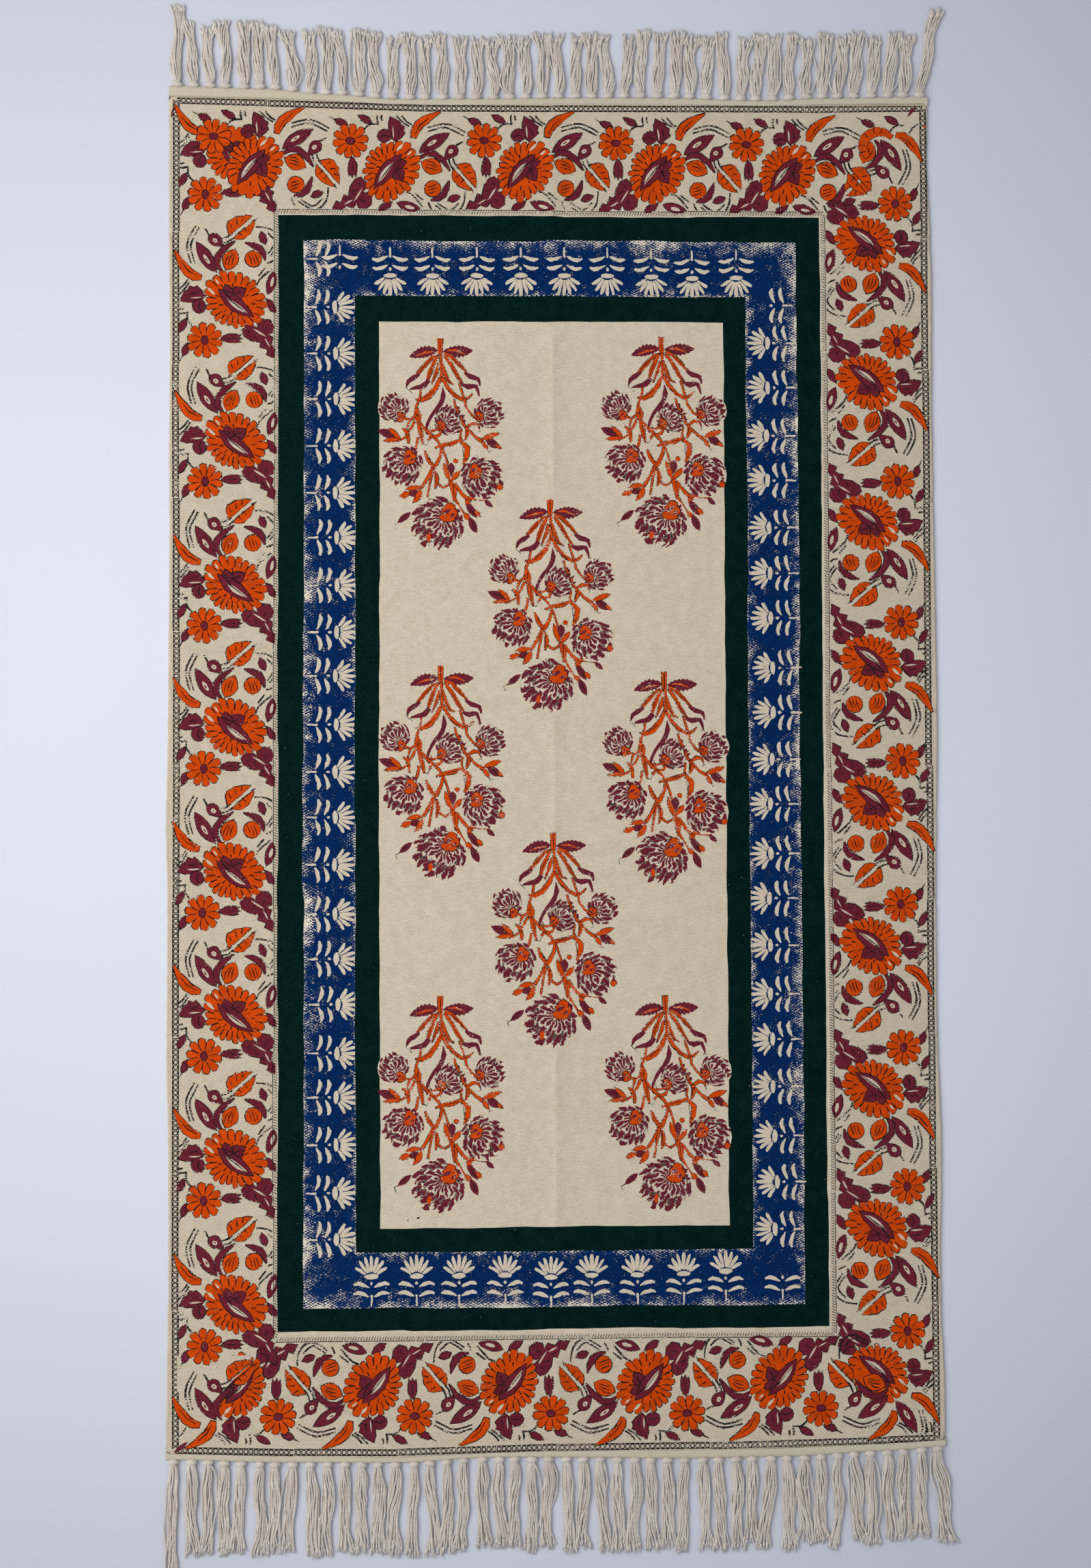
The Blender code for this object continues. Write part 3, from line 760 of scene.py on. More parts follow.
# At the bottom left the header is narrower than in the CAD: places across, and how much at each.
NARROWER_HEADER = ((-450.0, -303.0, -183.0, -78.0, 60.0, 177.0), (6.0, 6.2, 5.8, 3.4, 1.2, 0.0))
GRID_STEP = 24.0
CREASE_LINES = (-15.0, -9.0, -4.5, 4.5, 9.0, 15.0)
RIDGE_LINES = (-2.0, 2.0)
# The underside's loose points: how far across and along, and how far apart.
UNDERSIDE_GRID = (400, 750, 50)
FOOT_INSET = 0.5
CUT_TOLERANCE = 1e-4


def crease(distance):
    return np.exp(-(distance / CREASE_HALF_WIDTH) ** 2)


def cloth_height(x, y):
    """The same soft creases and low swells as the CAD cloth, and the ridge."""
    fade_x = np.clip((BODY_WIDTH / 2 - np.abs(x)) / CREASE_FADE, 0.0, 1.0)
    fade_y = np.clip((BODY_LENGTH / 2 - np.abs(y)) / CREASE_FADE, 0.0, 1.0)
    raised = np.maximum(CREASE_HEIGHT["lengthwise"] * crease(x) * fade_y,
                        CREASE_HEIGHT["crosswise"] * crease(y) * fade_x)
    height = CLOTH_THICKNESS + raised + RIDGE_HEIGHT * np.exp(-(x / RIDGE_HALF_WIDTH) ** 2) * fade_y
    for length_x, length_y, phase, swell in SWELLS:
        height = height + swell * np.sin(2 * np.pi * (x / length_x + y / length_y) + phase)
    return height


def edge_gap(outline, x, y):
    """Distance of each point to the nearer selvedge."""
    ring = np.array(outline)
    gaps = []
    for side in (-1, 1):
        part = ring[(ring[:, 0] * side > BODY_WIDTH / 3) & (np.abs(ring[:, 1]) < BODY_LENGTH / 2 + RIM_REACH)]
        part = part[np.argsort(part[:, 1])]
        gaps.append(side * (np.interp(y, part[:, 1], part[:, 0]) - x))
    return np.maximum(0.0, np.minimum(*gaps))


def sheet_height(outline, x, y):
    """The height of the printed side, with its rounded selvedges."""
    gap, height = edge_gap(outline, x, y), cloth_height(x, y)
    rounded = np.interp(gap, *SELVEDGE_PROFILE) + (height - CLOTH_THICKNESS) * gap / SELVEDGE_WIDTH
    return np.where(gap < SELVEDGE_WIDTH, rounded, height)


def cad_rim():
    """The foot of the CAD cloth's edge, in order all the way round."""
    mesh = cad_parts["rug_cloth"].data
    places = {(round(v.co.x / MM, 3), round(v.co.y / MM, 3)) for v in mesh.vertices if v.co.z < 0.5 * MM}
    rim = []
    for x, y in sorted(places, key=lambda p: math.atan2(p[1], p[0])):
        at_bottom = y < -BODY_LENGTH / 2 + RIM_REACH
        rim.append((x, y - float(np.interp(x, *NARROWER_HEADER)) if at_bottom else y))
    return rim


def woven_outline(rim):
    """The rim in short steps, with the small loops of the weft at the two selvedges."""
    draw = random.Random(WEFT_SEED)
    points = []
    for ((x0, y0), (x1, y1)), (*_, count) in zip(pairs_round(rim), sides_round(rim, EDGE_STEP)):
        along_side = abs(y1 - y0) > abs(x1 - x0)
        for k in range(count):
            t = k / count
            loop = draw.uniform(-WEFT_LOOP, WEFT_LOOP) if along_side and k else 0.0
            points.append((x0 + (x1 - x0) * t + loop, y0 + (y1 - y0) * t))
    return points


def resting_points(outline):
    """Loose points that carry the creases, the swells and the rounded selvedges."""
    points = []
    for k, (x, y) in enumerate(outline):
        before, after = outline[k - 1], outline[(k + 1) % len(outline)]
        tx, ty = unit(after[0] - before[0], after[1] - before[1])
        if abs(ty) > 0.9 and abs(y) < BODY_LENGTH / 2 - SELVEDGE_END:
            points += [(x - ty * d, y + tx * d) for d in SELVEDGE_PROFILE[0][1:]]
    lines_x = sorted({*np.arange(-18, 19) * GRID_STEP, *CREASE_LINES, *RIDGE_LINES})
    lines_y = sorted({*np.arange(-32, 33) * GRID_STEP, *CREASE_LINES})
    return points + [(float(x), float(y)) for x in lines_x for y in lines_y]


def cut_top(outline, shapes):
    """Cuts every printed shape into the sheet.

    Returns the points, the triangles, each triangle's uppermost shape and, where that is a black line,
    the uppermost coloured one below it. Shapes count from 1, and 0 is the bare sheet.
    """
    points, faces = list(outline), [list(range(len(outline)))]
    for _, shape, _, _ in shapes:
        faces.append(list(range(len(points), len(points) + len(shape))))
        points += shape
    points += resting_points(outline)
    cut = delaunay_2d_cdt(points, [], faces, 2, CUT_TOLERANCE, True)
    inks = ["cotton"] + [shape[0] for shape in shapes]
    triangles, over, below = [], [], []
    for triangle, cover in zip(cut[2], cut[5]):
        if 0 in cover:
            top = max(cover)
            triangles.append(triangle)
            over.append(top)
            below.append(max(f for f in cover if inks[f] != "key") if inks[top] == "key" else 0)
    return np.array([tuple(p) for p in cut[0]]), np.array(triangles), over, below


def rim_of(triangles):
    """The points round the cut top, in order, found by its single edges."""
    edges = np.concatenate([triangles[:, [0, 1]], triangles[:, [1, 2]], triangles[:, [2, 0]]])
    _, first, times = np.unique(np.sort(edges, axis=1), axis=0, return_index=True, return_counts=True)
    following = {int(a): int(b) for a, b in edges[first[times == 1]]}
    rim = [next(iter(following))]
    while following[rim[-1]] != rim[0]:
        rim.append(following[rim[-1]])
    return rim


def new_object(name, points, faces, materials):
    mesh = bpy.data.meshes.new(name)
    mesh.from_pydata((np.asarray(points) * MM).tolist(), [], faces)
    for material in materials:
        mesh.materials.append(material)
    thing = bpy.data.objects.new(name, mesh)
    bpy.context.scene.collection.objects.link(thing)
    return thing


def make_cloth(material):
    """The printed sheet: the cut top, a flat underside and the edge between them, closed."""
    outline = woven_outline(cad_rim())
    shapes = printed_shapes()
    placed, triangles, over, below = cut_top(outline, shapes)
    x, y = placed.T
    top = np.column_stack([x, y, sheet_height(outline, x, y)])
    rim = rim_of(triangles)
    foot = [(x[k] * (1 - FOOT_INSET / BODY_WIDTH), y[k]) for k in rim]
    wide, long, step = UNDERSIDE_GRID
    loose = [(float(a), float(b)) for a in range(-wide, wide + 1, step) for b in range(-long, long + 1, step)]
    under = delaunay_2d_cdt(foot + loose, [], [list(range(len(rim)))], 2, CUT_TOLERANCE, True)
    # Where each point of the foot is found among the sheet's points.
    foot_of = {given: len(top) + number for number, sources in enumerate(under[3]) for given in sources}
    points = np.concatenate([top, [(*tuple(p), 0.0) for p in under[0]]])
    bottom = [[len(top) + k for k in reversed(face)] for face, cover in zip(under[2], under[5]) if cover]
    wall = [[rim[after], rim[k], foot_of[k], foot_of[after]]
            for k, after in pairs_round(list(range(len(rim))))]
    faces = triangles.tolist() + bottom + wall
    sheet = new_object("printed_cloth", points, faces, [material])

    corners = points[[k for face in faces for k in face]]
    face_of_corner = np.repeat(np.arange(len(faces)), [len(face) for face in faces])
    unprinted = [0] * (len(bottom) + len(wall))
    lay_inks(sheet.data, shapes, np.array(over + unprinted)[face_of_corner],
             np.array(below + unprinted)[face_of_corner], corners)
    chart_sheet(sheet.data, corners, 3 * len(triangles), len(wall))
    # The edge's own faces stay flat, so the rim of the printed side isn't shaded round.
    sheet.data.polygons.foreach_set("use_smooth", np.arange(len(faces)) < len(faces) - len(wall))
    return sheet


# The green frame's outer edge, past which the cotton is a little darker from handling.
MARGIN = (320.0, 652.0)
MARGIN_SHADE = 0.90


def corner_attribute(mesh, name, kind, values):
    """Writes one value to each corner of the faces."""
    field = {"FLOAT": "value", "FLOAT_COLOR": "color", "FLOAT_VECTOR": "vector"}[kind]
    made = mesh.attributes.new(name, kind, "CORNER")
    made.data.foreach_set(field, values.astype(np.float32).ravel())


def lay_inks(mesh, shapes, over, below, corners):
    """Each corner's ink and the ink under a black line, how well it took, and its place in a repeat."""
    x, y = corners[:, 0], corners[:, 1]
    inks = ["cotton"] + [shape[0] for shape in shapes]
    loads = np.array([INKS[ink][1] + take for ink, take in zip(inks, [0.0] + [s[2] for s in shapes])])
    colours = np.array([linear(INKS[ink][0]) for ink in inks])
    is_blue = np.array([ink == "blue" for ink in inks])
    is_printed = np.array([ink != "cotton" for ink in inks])
    # Alpha carries the shade of the bare cotton, and under a black line whether there is ink.
    ink_over, ink_below = colours[over], colours[below]
    ink_over[:, 3] = np.where((np.abs(x) > MARGIN[0]) | (np.abs(y) > MARGIN[1]), MARGIN_SHADE, 1.0)
    ink_below[:, 3] = is_printed[below]
    corner_attribute(mesh, "ink", "FLOAT_COLOR", ink_over)
    corner_attribute(mesh, "ink_below", "FLOAT_COLOR", ink_below)
    corner_attribute(mesh, "ink_load", "FLOAT", loads[over] - is_blue[over] * blue_wear(x, y))
    place = np.zeros((len(x), 3))
    for number, (_, _, _, repeat) in enumerate(shapes, 1):
        if repeat:
            (x0, y0), (x1, y1), scale, kind = repeat
            mine = over == number
            tx, ty = unit(x1 - x0, y1 - y0)
            dx, dy = x[mine] - x0, y[mine] - y0
            place[mine] = np.column_stack([(dx * tx + dy * ty) * scale, (dy * tx - dx * ty) * scale,
                                           np.full(len(dx), kind)])
    corner_attribute(mesh, "repeat_place", "FLOAT_VECTOR", place)


# Worn patches of the blue band: middle, half width, half length, how much less ink.
WORN_PATCHES = ((-280, 575, 26, 60, 0.22), (270, 560, 26, 60, 0.10), (-262, -598, 40, 30, 0.12))
BLUE_HALF_BAND = 46
HALF_LOTUS = 26.0
# A worn print loses ink over this half length, and in full from this far outside the middle of its cup.
WORN_HALF_LENGTH = 25.0
WORN_FROM = 16.0
# Near the band's edges the wear falls off over these millimetres.
EDGE_WEAR, EDGE_WEAR_REACH = 0.30, 5.0
SEAM_WEAR, SEAM_WEAR_REACH = 0.05, 3.5
# Every lotus print is worn a little, and some are worn more.
LEAST_WEAR, TIRED_WEAR = 0.04, 0.14


def blue_wear(x, y):
    """How much less ink the blue blocks leave: near the band's edges, at seams and in worn patches."""
    gap = np.full(len(x), 99.0)
    for left, right, bottom, top in (BLUE_FRAME, INNER_GREEN_FRAME):
        inside = (x > left - 3) & (x < right + 3) & (y > bottom - 3) & (y < top + 3)
        to_edge = np.minimum.reduce([np.abs(x - left), np.abs(right - x), np.abs(y - bottom),
                                     np.abs(top - y)])
        gap = np.where(inside | (gap > 90), np.minimum(gap, to_edge), gap)
    wear = EDGE_WEAR * np.exp(-gap / EDGE_WEAR_REACH)
    for turn, centres in LOTUS_PRINTS:
        for k, centre in enumerate(centres):
            along, across = (x, y) if turn in (0, 180) else (y, x)
            place, fixed = centre if turn in (0, 180) else centre[::-1]
            near = np.abs(across - fixed) < BLUE_HALF_BAND
            # The outer half of the block, with its stem and strokes, takes less ink in some prints.
            outer = np.clip(math.copysign(1.0, fixed) * (across - fixed) / WORN_FROM, 0.25, 1.0)
            tired = LEAST_WEAR + TIRED_WEAR * max(0.0, math.sin(k * 2.7 + turn)) ** 2
            wear = wear + near * tired * outer * np.exp(-((along - place) / WORN_HALF_LENGTH) ** 4)
            wear = wear + near * SEAM_WEAR * np.exp(-((along - place - HALF_LOTUS) / SEAM_WEAR_REACH) ** 2)
    for worn_x, worn_y, wide, long, gone in WORN_PATCHES:
        wear = wear + gone * np.exp(-(((x - worn_x) / wide) ** 2 + ((y - worn_y) / long) ** 2))
    return wear


# The chart's margin and the top's size in it, and the narrow strips beside it for underside and edge.
CHART_MARGIN = 0.003
CHART_SIZE = (0.962, 0.994)
UNDERSIDE_STRIP = (0.972, 0.982)
WALL_STRIP = (0.988, 0.997)


def chart_sheet(mesh, corners, top_end, wall_faces):
    """One flat chart for the top. The underside and the edge are drawn narrow beside it."""
    low, high = corners.min(axis=0), corners.max(axis=0)
    share = (corners - low) / (high - low)
    u, v = (CHART_MARGIN + size * share[:, axis] for axis, size in enumerate(CHART_SIZE))
    wall_start = len(u) - 4 * wall_faces
    left, right = UNDERSIDE_STRIP
    u[top_end:wall_start] = left + (right - left) * share[top_end:wall_start, 0]
    u[wall_start:] = np.tile(np.repeat(WALL_STRIP, 2), wall_faces)
    place = np.arange(wall_faces)
    place = np.column_stack([place + 1, place, place, place + 1]).ravel()
    v[wall_start:] = CHART_MARGIN + CHART_SIZE[1] * place / wall_faces
    chart = mesh.uv_layers.new(name="OFBake")
    chart.data.foreach_set("uv", np.column_stack([u, v]).astype(np.float32).ravel())


# The fringes.

# The outer edge of each header band: place across, place along.
BANDS = {
    "top": ((-450.0, 803.0), (-338.0, 800.5), (-262.0, 794.6), (-181.0, 789.5), (127.0, 793.0),
            (248.0, 790.4), (329.0, 794.2), (450.0, 796.6)),
    "bottom": ((-450.0, -794.0), (-303.0, -798.7), (-183.0, -800.5), (-78.0, -795.8), (177.0, -799.6),
               (272.0, -798.7), (382.0, -794.0), (450.0, -790.0)),
}
# A band's section: how far it stands out from that edge, its share of the way to the cloth, its height.
BAND_SECTION = ((0.0, 0.0, 0.0), (0.35, 0.0, 1.4), (-0.6, 0.0, 2.9), (0.0, 0.30, 3.4), (0.0, 0.5, 3.5),
                (0.0, 0.78, 3.4), (0.0, 1.0, 3.2), (0.0, 1.0, 0.0))
BAND_OVERLAP = 0.2
RIB_HEIGHT = 0.08
HEM_WEFT_PITCH = 1.3
TASSELS = 46
STRANDS = 15
TASSEL_INSET = 9.0
ROOT_JITTER = 1.1
TIP_JITTER = 0.7
LENGTH_JITTER = 4.0
FRINGE_LENGTH = {"top": 78.0, "bottom": 105.0}
# How far the outermost tassels lean outward.
OUTER_LEAN = {"top": 6.0, "bottom": 3.0}
# Length, and how far the tip lies to the right.
CORNER_TASSELS = {
    ("top", 0): (99.0, 2.0), ("top", TASSELS - 1): (107.0, 22.0),
    ("bottom", 0): (130.0, -2.0), ("bottom", TASSELS - 1): (112.0, 13.0),
}
SEEDS = {"top": (46, 460), "bottom": (64, 640)}
YARN_RADIUS = 1.02
YARN_SIDES = 6
YARN_STEPS = 13
FRAYED_ENDS = 4
# The chart counts 100 mm along a yarn as 1. Frayed ends have theirs to the side, where the material paints
# them paler as painted light on their loose fibres.
CHART_SCALE = 0.01
FRAYED_SHIFT = 2.0
KNOT_HALF_WIDTH = 6.4
# The swell of a drawn-up overhand knot from end to end, as radii.
KNOT_RADII = (0.7, 2.3, 3.2, 3.5, 3.55, 3.4, 2.9, 1.9, 0.6)


def eased(table, place):
    """Reads a table with soft steps between its rows."""
    if place <= table[0][0]:
        return table[0][1]
    for low, high in zip(table, table[1:]):
        if place <= high[0]:
            share = (place - low[0]) / (high[0] - low[0])
            share = share * share * (3.0 - 2.0 * share)
            return low[1] + (high[1] - low[1]) * share
    return table[-1][1]


class Yarns:
    """Tubes gathered into one mesh, with a chart that runs round and along each one."""

    def __init__(self):
        self.points, self.faces, self.charts = [], [], []

    def skin(self, rings, along, shift=0.0):
        """Closes rings of points into a tube with two flat ends."""
        start, last, sides = len(self.points), len(rings) - 1, len(rings[0])
        for ring in range(last):
            low, high = start + ring * sides, start + (ring + 1) * sides
            for k in range(sides):
                after = (k + 1) % sides
                self.faces.append([low + k, low + after, high + after, high + k])
                u, next_u = shift + k / sides, shift + (k + 1) / sides
                self.charts += [(u, along[ring]), (next_u, along[ring]), (next_u, along[ring + 1]),
                                (u, along[ring + 1])]
        for ring, order in ((0, range(sides - 1, -1, -1)), (last, range(sides))):
            self.faces.append([start + ring * sides + k for k in order])
            self.charts += [(shift + k / sides, along[ring]) for k in order]
        self.points += [point for ring in rings for point in ring]

    def tube(self, path, radii, sides=YARN_SIDES, phase=0.0, shift=0.0):
        path = np.asarray(path, float)
        tangent = np.gradient(path, axis=0)
        tangent /= np.linalg.norm(tangent, axis=1)[:, None]
        side = np.cross(tangent, (0.0, 0.0, 1.0))
        side /= np.linalg.norm(side, axis=1)[:, None]
        over = np.cross(side, tangent)
        angles = 2 * np.pi * (np.arange(sides) / sides) + phase
        round_path = (np.cos(angles)[None, :, None] * side[:, None, :]
                      + np.sin(angles)[None, :, None] * over[:, None, :])
        rings = path[:, None, :] + np.asarray(radii, float).reshape(-1, 1, 1) * round_path
        steps = np.linalg.norm(np.diff(path, axis=0), axis=1)
        self.skin(rings, np.concatenate([[0.0], np.cumsum(steps)]) * CHART_SCALE, shift)


def knot(yarns, draw, centre, edge, outward):
    """A drawn-up overhand knot on the band's edge, with the one turn that shows."""
    mirror = draw.choice((-1.0, 1.0))
    skew = draw.uniform(0.2, 1.2)
    half_knot = KNOT_HALF_WIDTH * draw.uniform(0.9, 1.06)
    path = [(centre + half_knot * t, edge + outward * (2.1 - mirror * skew * t), 3.6)
            for t in np.linspace(-1.0, 1.0, len(KNOT_RADII))]
    yarns.tube(path, KNOT_RADII[::int(mirror)], sides=10)
    turn = ((-5.6, 0.2, 2.6), (-2.6, 1.6, 5.7), (1.2, 4.0, 5.4), (3.6, 6.4, 3.0))
    yarns.tube([(centre + mirror * x, edge + outward * y, z) for x, y, z in turn], [0.9, 1.4, 1.5, 1.2])


def tassel(yarns, draw, centre, tip_centre, length, edge, outward):
    """A knot and the plied yarns that hang loose from it."""
    knot(yarns, draw, centre, edge, outward)
    sway, sway_phase = draw.uniform(0.3, 2.6), draw.uniform(0, 6.28)
    half, flare = draw.uniform(6.4, 8.0), draw.uniform(1.0, 1.5)
    twist = draw.uniform(0.6, 2.8) * draw.choice((-1.0, 1.0))
    stray = draw.randrange(STRANDS) if draw.random() < 0.35 else None
    reach = np.linspace(0.0, 1.0, YARN_STEPS + 1)
    closed = np.exp(-reach * 10.0)
    for strand in range(STRANDS):
        # The strands stand round a flat oval that turns along the tassel, so they cross.
        turned = 2 * np.pi * (strand + draw.uniform(-0.35, 0.35)) / STRANDS + twist * reach
        fill = draw.uniform(0.55, 1.0)
        own = length - draw.uniform(1.0, 8.0)
        out = 3.6 + (own - 3.6) * reach
        curl, curl_phase = draw.uniform(0.2, 1.2), draw.uniform(0, 6.28)
        wave = sway * np.sin(2 * np.pi * out / 88.0 + sway_phase)
        wave += curl * np.sin(2 * np.pi * out / draw.uniform(26.0, 46.0) + curl_phase)
        # The tassel is drawn in at the knot, full a quarter of the way down, and loose at its tips.
        width = half * np.interp(reach, (0.0, 0.08, 0.24, 0.42, 0.64, 0.84, 1.0),
                                 (0.45, 0.78, 1.0, 0.97, 0.86, 0.98, 1.12 * flare))
        x = centre + width * fill * np.cos(turned) + wave * np.minimum(1.0, reach * 4.0)
        x += (tip_centre - centre) * reach ** 1.3 + draw.uniform(-1.6, 1.6) * reach ** 3
        if strand == stray:
            x += draw.choice((-1.0, 1.0)) * draw.uniform(5.0, 9.0) * np.sin(np.pi * reach ** 0.8)
        z = YARN_RADIUS + 1.5 * (1.0 + fill * np.sin(turned)) * (1.0 - 0.35 * reach) + 1.2 * closed
        radii = YARN_RADIUS * (1.0 + 0.14 * np.sin(out / 6.0 + curl_phase))
        radii[-2:] *= (0.85, 0.4)
        yarns.tube(np.column_stack([x, edge + outward * out, z]), radii, phase=draw.uniform(0, 1))
        # The ply comes open at the tip.
        for _ in range(FRAYED_ENDS):
            back, far = draw.uniform(3.0, 7.0), draw.uniform(1.0, 5.0)
            start = np.array((np.interp(own - back, out, x), edge + outward * (own - back),
                              np.interp(own - back, out, z)))
            start += (draw.uniform(-0.5, 0.5), 0.0, draw.uniform(0.0, 0.6))
            end = np.array((x[-1] + draw.uniform(-2.0, 2.0), edge + outward * (own + far),
                            max(0.6, z[-1] - 0.3)))
            middle = (start * 0.5 + end * 0.5) + (draw.uniform(-0.6, 0.6), 0.0, 0.3)
            yarns.tube([start, middle, end], [0.5, 0.6, 0.15], sides=3, shift=FRAYED_SHIFT)


def gathered_tips(draw):
    """How far each tassel leans: small groups of neighbours lie with their tips together."""
    leans = []
    while len(leans) < TASSELS:
        size = draw.choice((1, 2, 2, 3))
        pull, side = draw.uniform(2.5, 6.0), draw.uniform(-3.5, 3.5)
        leans += [((size - 1) / 2 - k) * pull + side for k in range(size)]
    return leans[:TASSELS]


def header_band(yarns, outer_at, inner_at, left, right, outward):
    """The unprinted hem that holds the warp ends, ribbed by the warp."""
    step = WARP_PITCH / 4
    count = round((right - left) / step)
    rings = []
    for k in range(count + 1):
        x = left + (right - left) * k / count
        outer, inner = outer_at(x), inner_at(x)
        rib = RIB_HEIGHT * math.cos(2 * math.pi * x / WARP_PITCH)
        ring = []
        for out, share, height in BAND_SECTION:
            y = outer + outward * out + (inner - outer) * share
            ring.append((x, y + outward * rib * (0.5 if out else 0.0), height + rib * (height > 2.0)))
        rings.append(ring)
    yarns.skin(rings, [k * step * CHART_SCALE for k in range(count + 1)])


def make_fringe(end, rim, yarn_material, hem_material):
    outward = 1.0 if end == "top" else -1.0
    table = BANDS[end]
    xs, ys = zip(*sorted(p for p in rim if p[1] * outward > BODY_LENGTH / 2 - RIM_REACH))
    left, right = xs[0], xs[-1]
    yarns = Yarns()
    header_band(yarns, lambda x: eased(table, x),
                lambda x: float(np.interp(x, xs, ys)) - outward * BAND_OVERLAP, left, right, outward)
    hem_faces = len(yarns.faces)
    places, draw = (random.Random(seed) for seed in SEEDS[end])
    leans = gathered_tips(draw)
    pitch = (right - left - 2 * TASSEL_INSET) / (TASSELS - 1)
    for number in range(TASSELS):
        even = left + TASSEL_INSET + pitch * number
        centre = even + places.uniform(-ROOT_JITTER, ROOT_JITTER)
        outer_lean = OUTER_LEAN[end] * even / (BODY_WIDTH / 2)
        tip_centre = even + places.uniform(-TIP_JITTER, TIP_JITTER) + leans[number] + outer_lean
        length = FRINGE_LENGTH[end] + places.uniform(-LENGTH_JITTER, LENGTH_JITTER)
        if (end, number) in CORNER_TASSELS:
            length, lean = CORNER_TASSELS[end, number]
            tip_centre = even + lean
        tassel(yarns, draw, centre, tip_centre, length, eased(table, centre), outward)
    fringe = new_object(end + "_fringe_yarns", yarns.points, yarns.faces, [yarn_material, hem_material])
    mesh = fringe.data
    mesh.polygons.foreach_set("material_index", (np.arange(len(yarns.faces)) < hem_faces).astype(np.int32))
    chart = mesh.uv_layers.new(name="along_yarn")
    chart.data.foreach_set("uv", np.array(yarns.charts, np.float32).ravel())
    mesh.shade_smooth()
    bpy.ops.object.select_all(action="DESELECT")
    fringe.select_set(True)
    bpy.context.view_layer.objects.active = fringe
    bpy.ops.object.mode_set(mode="EDIT")
    bpy.ops.mesh.select_all(action="SELECT")
    bpy.ops.mesh.normals_make_consistent(inside=False)
    bpy.ops.object.mode_set(mode="OBJECT")
    return fringe


# Materials.

def new_material(name):
    material = bpy.data.materials.new(name)
    material.use_nodes = True
    return material


def add(material, kind, inputs=(), **settings):
    """Adds one node and returns its outputs. Its inputs are plain values or other nodes' outputs."""
    made = material.node_tree.nodes.new("ShaderNode" + kind)
    for name, value in settings.items():
        setattr(made, name, value)
    for name, value in inputs.items() if isinstance(inputs, dict) else enumerate(inputs):
        if isinstance(value, bpy.types.NodeSocket):
            material.node_tree.links.new(value, made.inputs[name])
        else:
            made.inputs[name].default_value = value
    return made.outputs


def weighted(material, total, *patterns):
    """Adds patterns to a value or another pattern, each with its weight."""
    for pattern, weight in patterns:
        total = add(material, "Math", (pattern, weight, total), operation="MULTIPLY_ADD")[0]
    return total


def finish_material(material, base, height, distance, roughness, sheen):
    """Joins colour and relief to the shader. Its plain values sit on its own sockets."""
    shader = material.node_tree.nodes["Principled BSDF"]
    bump = add(material, "Bump", {"Strength": 1.0, "Distance": distance, "Height": height})[0]
    material.node_tree.links.new(base, shader.inputs["Base Color"])
    material.node_tree.links.new(bump, shader.inputs["Normal"])
    for name, value in (("Roughness", roughness), ("Specular IOR Level", 0.03), ("Sheen Weight", sheen),
                        ("Sheen Roughness", 0.5)):
        shader.inputs[name].default_value = value


# The chains in millimetres: half a ring's pitch, its half length and half width, how far the two lines run
# from the middle and their half width, and half a tick's pitch and its half width.
RING_HALF_PITCH = 2.9
RING_HALF_LENGTH, RING_HALF_WIDTH = 2.7, 2.9
CHAIN_LINE, LINE_HALF_WIDTH = 3.4, 0.56
TICK_HALF_PITCH, TICK_HALF_WIDTH = 1.55, 0.5


def chains_drawn(m, quick, repeat, kind):
    """The small repeats of the border, in millimetres: rings between two lines, or ticks beside one."""
    wandering = add(m, "VectorMath", (quick, (1.3, 1.1, 0.0), repeat), operation="MULTIPLY_ADD")[0]
    along, across, _ = add(m, "SeparateXYZ", (wandering,))
    # A noise lies round a half, so half of its reach is taken off again.
    across = add(m, "Math", (across, 0.55), operation="SUBTRACT")[0]
    # A ring is the rim of a soft box, so its distance is a sum of third powers.
    cell = add(m, "Math", (along, RING_HALF_PITCH), operation="PINGPONG")[0]
    cell = add(m, "Math", (cell, RING_HALF_LENGTH), operation="DIVIDE")[0]
    cell = add(m, "Math", (cell, 3.0), operation="POWER")[0]
    side = add(m, "Math", (across,), operation="ABSOLUTE")[0]
    reach = add(m, "Math", (side, RING_HALF_WIDTH), operation="DIVIDE")[0]
    reach = add(m, "Math", (reach, 3.0), operation="POWER")[0]
    ring = add(m, "Math", (cell, reach), operation="ADD")[0]
    ring = add(m, "Math", (ring, 0.65, 0.41), operation="COMPARE")[0]
    line = add(m, "Math", (side, CHAIN_LINE, LINE_HALF_WIDTH), operation="COMPARE")[0]
    rings = add(m, "Math", (ring, line), operation="MAXIMUM")[0]
    slant = weighted(m, along, (across, -0.5))
    tick = add(m, "Math", (slant, TICK_HALF_PITCH), operation="PINGPONG")[0]
    tick = add(m, "Math", (tick, TICK_HALF_WIDTH), operation="LESS_THAN")[0]
    near = add(m, "Math", (across, 0.6, 2.0), operation="COMPARE")[0]
    tick = add(m, "Math", (tick, near), operation="MULTIPLY")[0]
    dots = add(m, "Math", (across, -2.4, 0.5), operation="COMPARE")[0]
    ticks = add(m, "Math", (tick, dots), operation="MAXIMUM")[0]
    is_ticks = add(m, "Math", (kind, (RINGS + TICKS) / 2), operation="GREATER_THAN")[0]
    return add(m, "Mix", {0: is_ticks, 2: rings, 3: ticks}, data_type="FLOAT")[0]


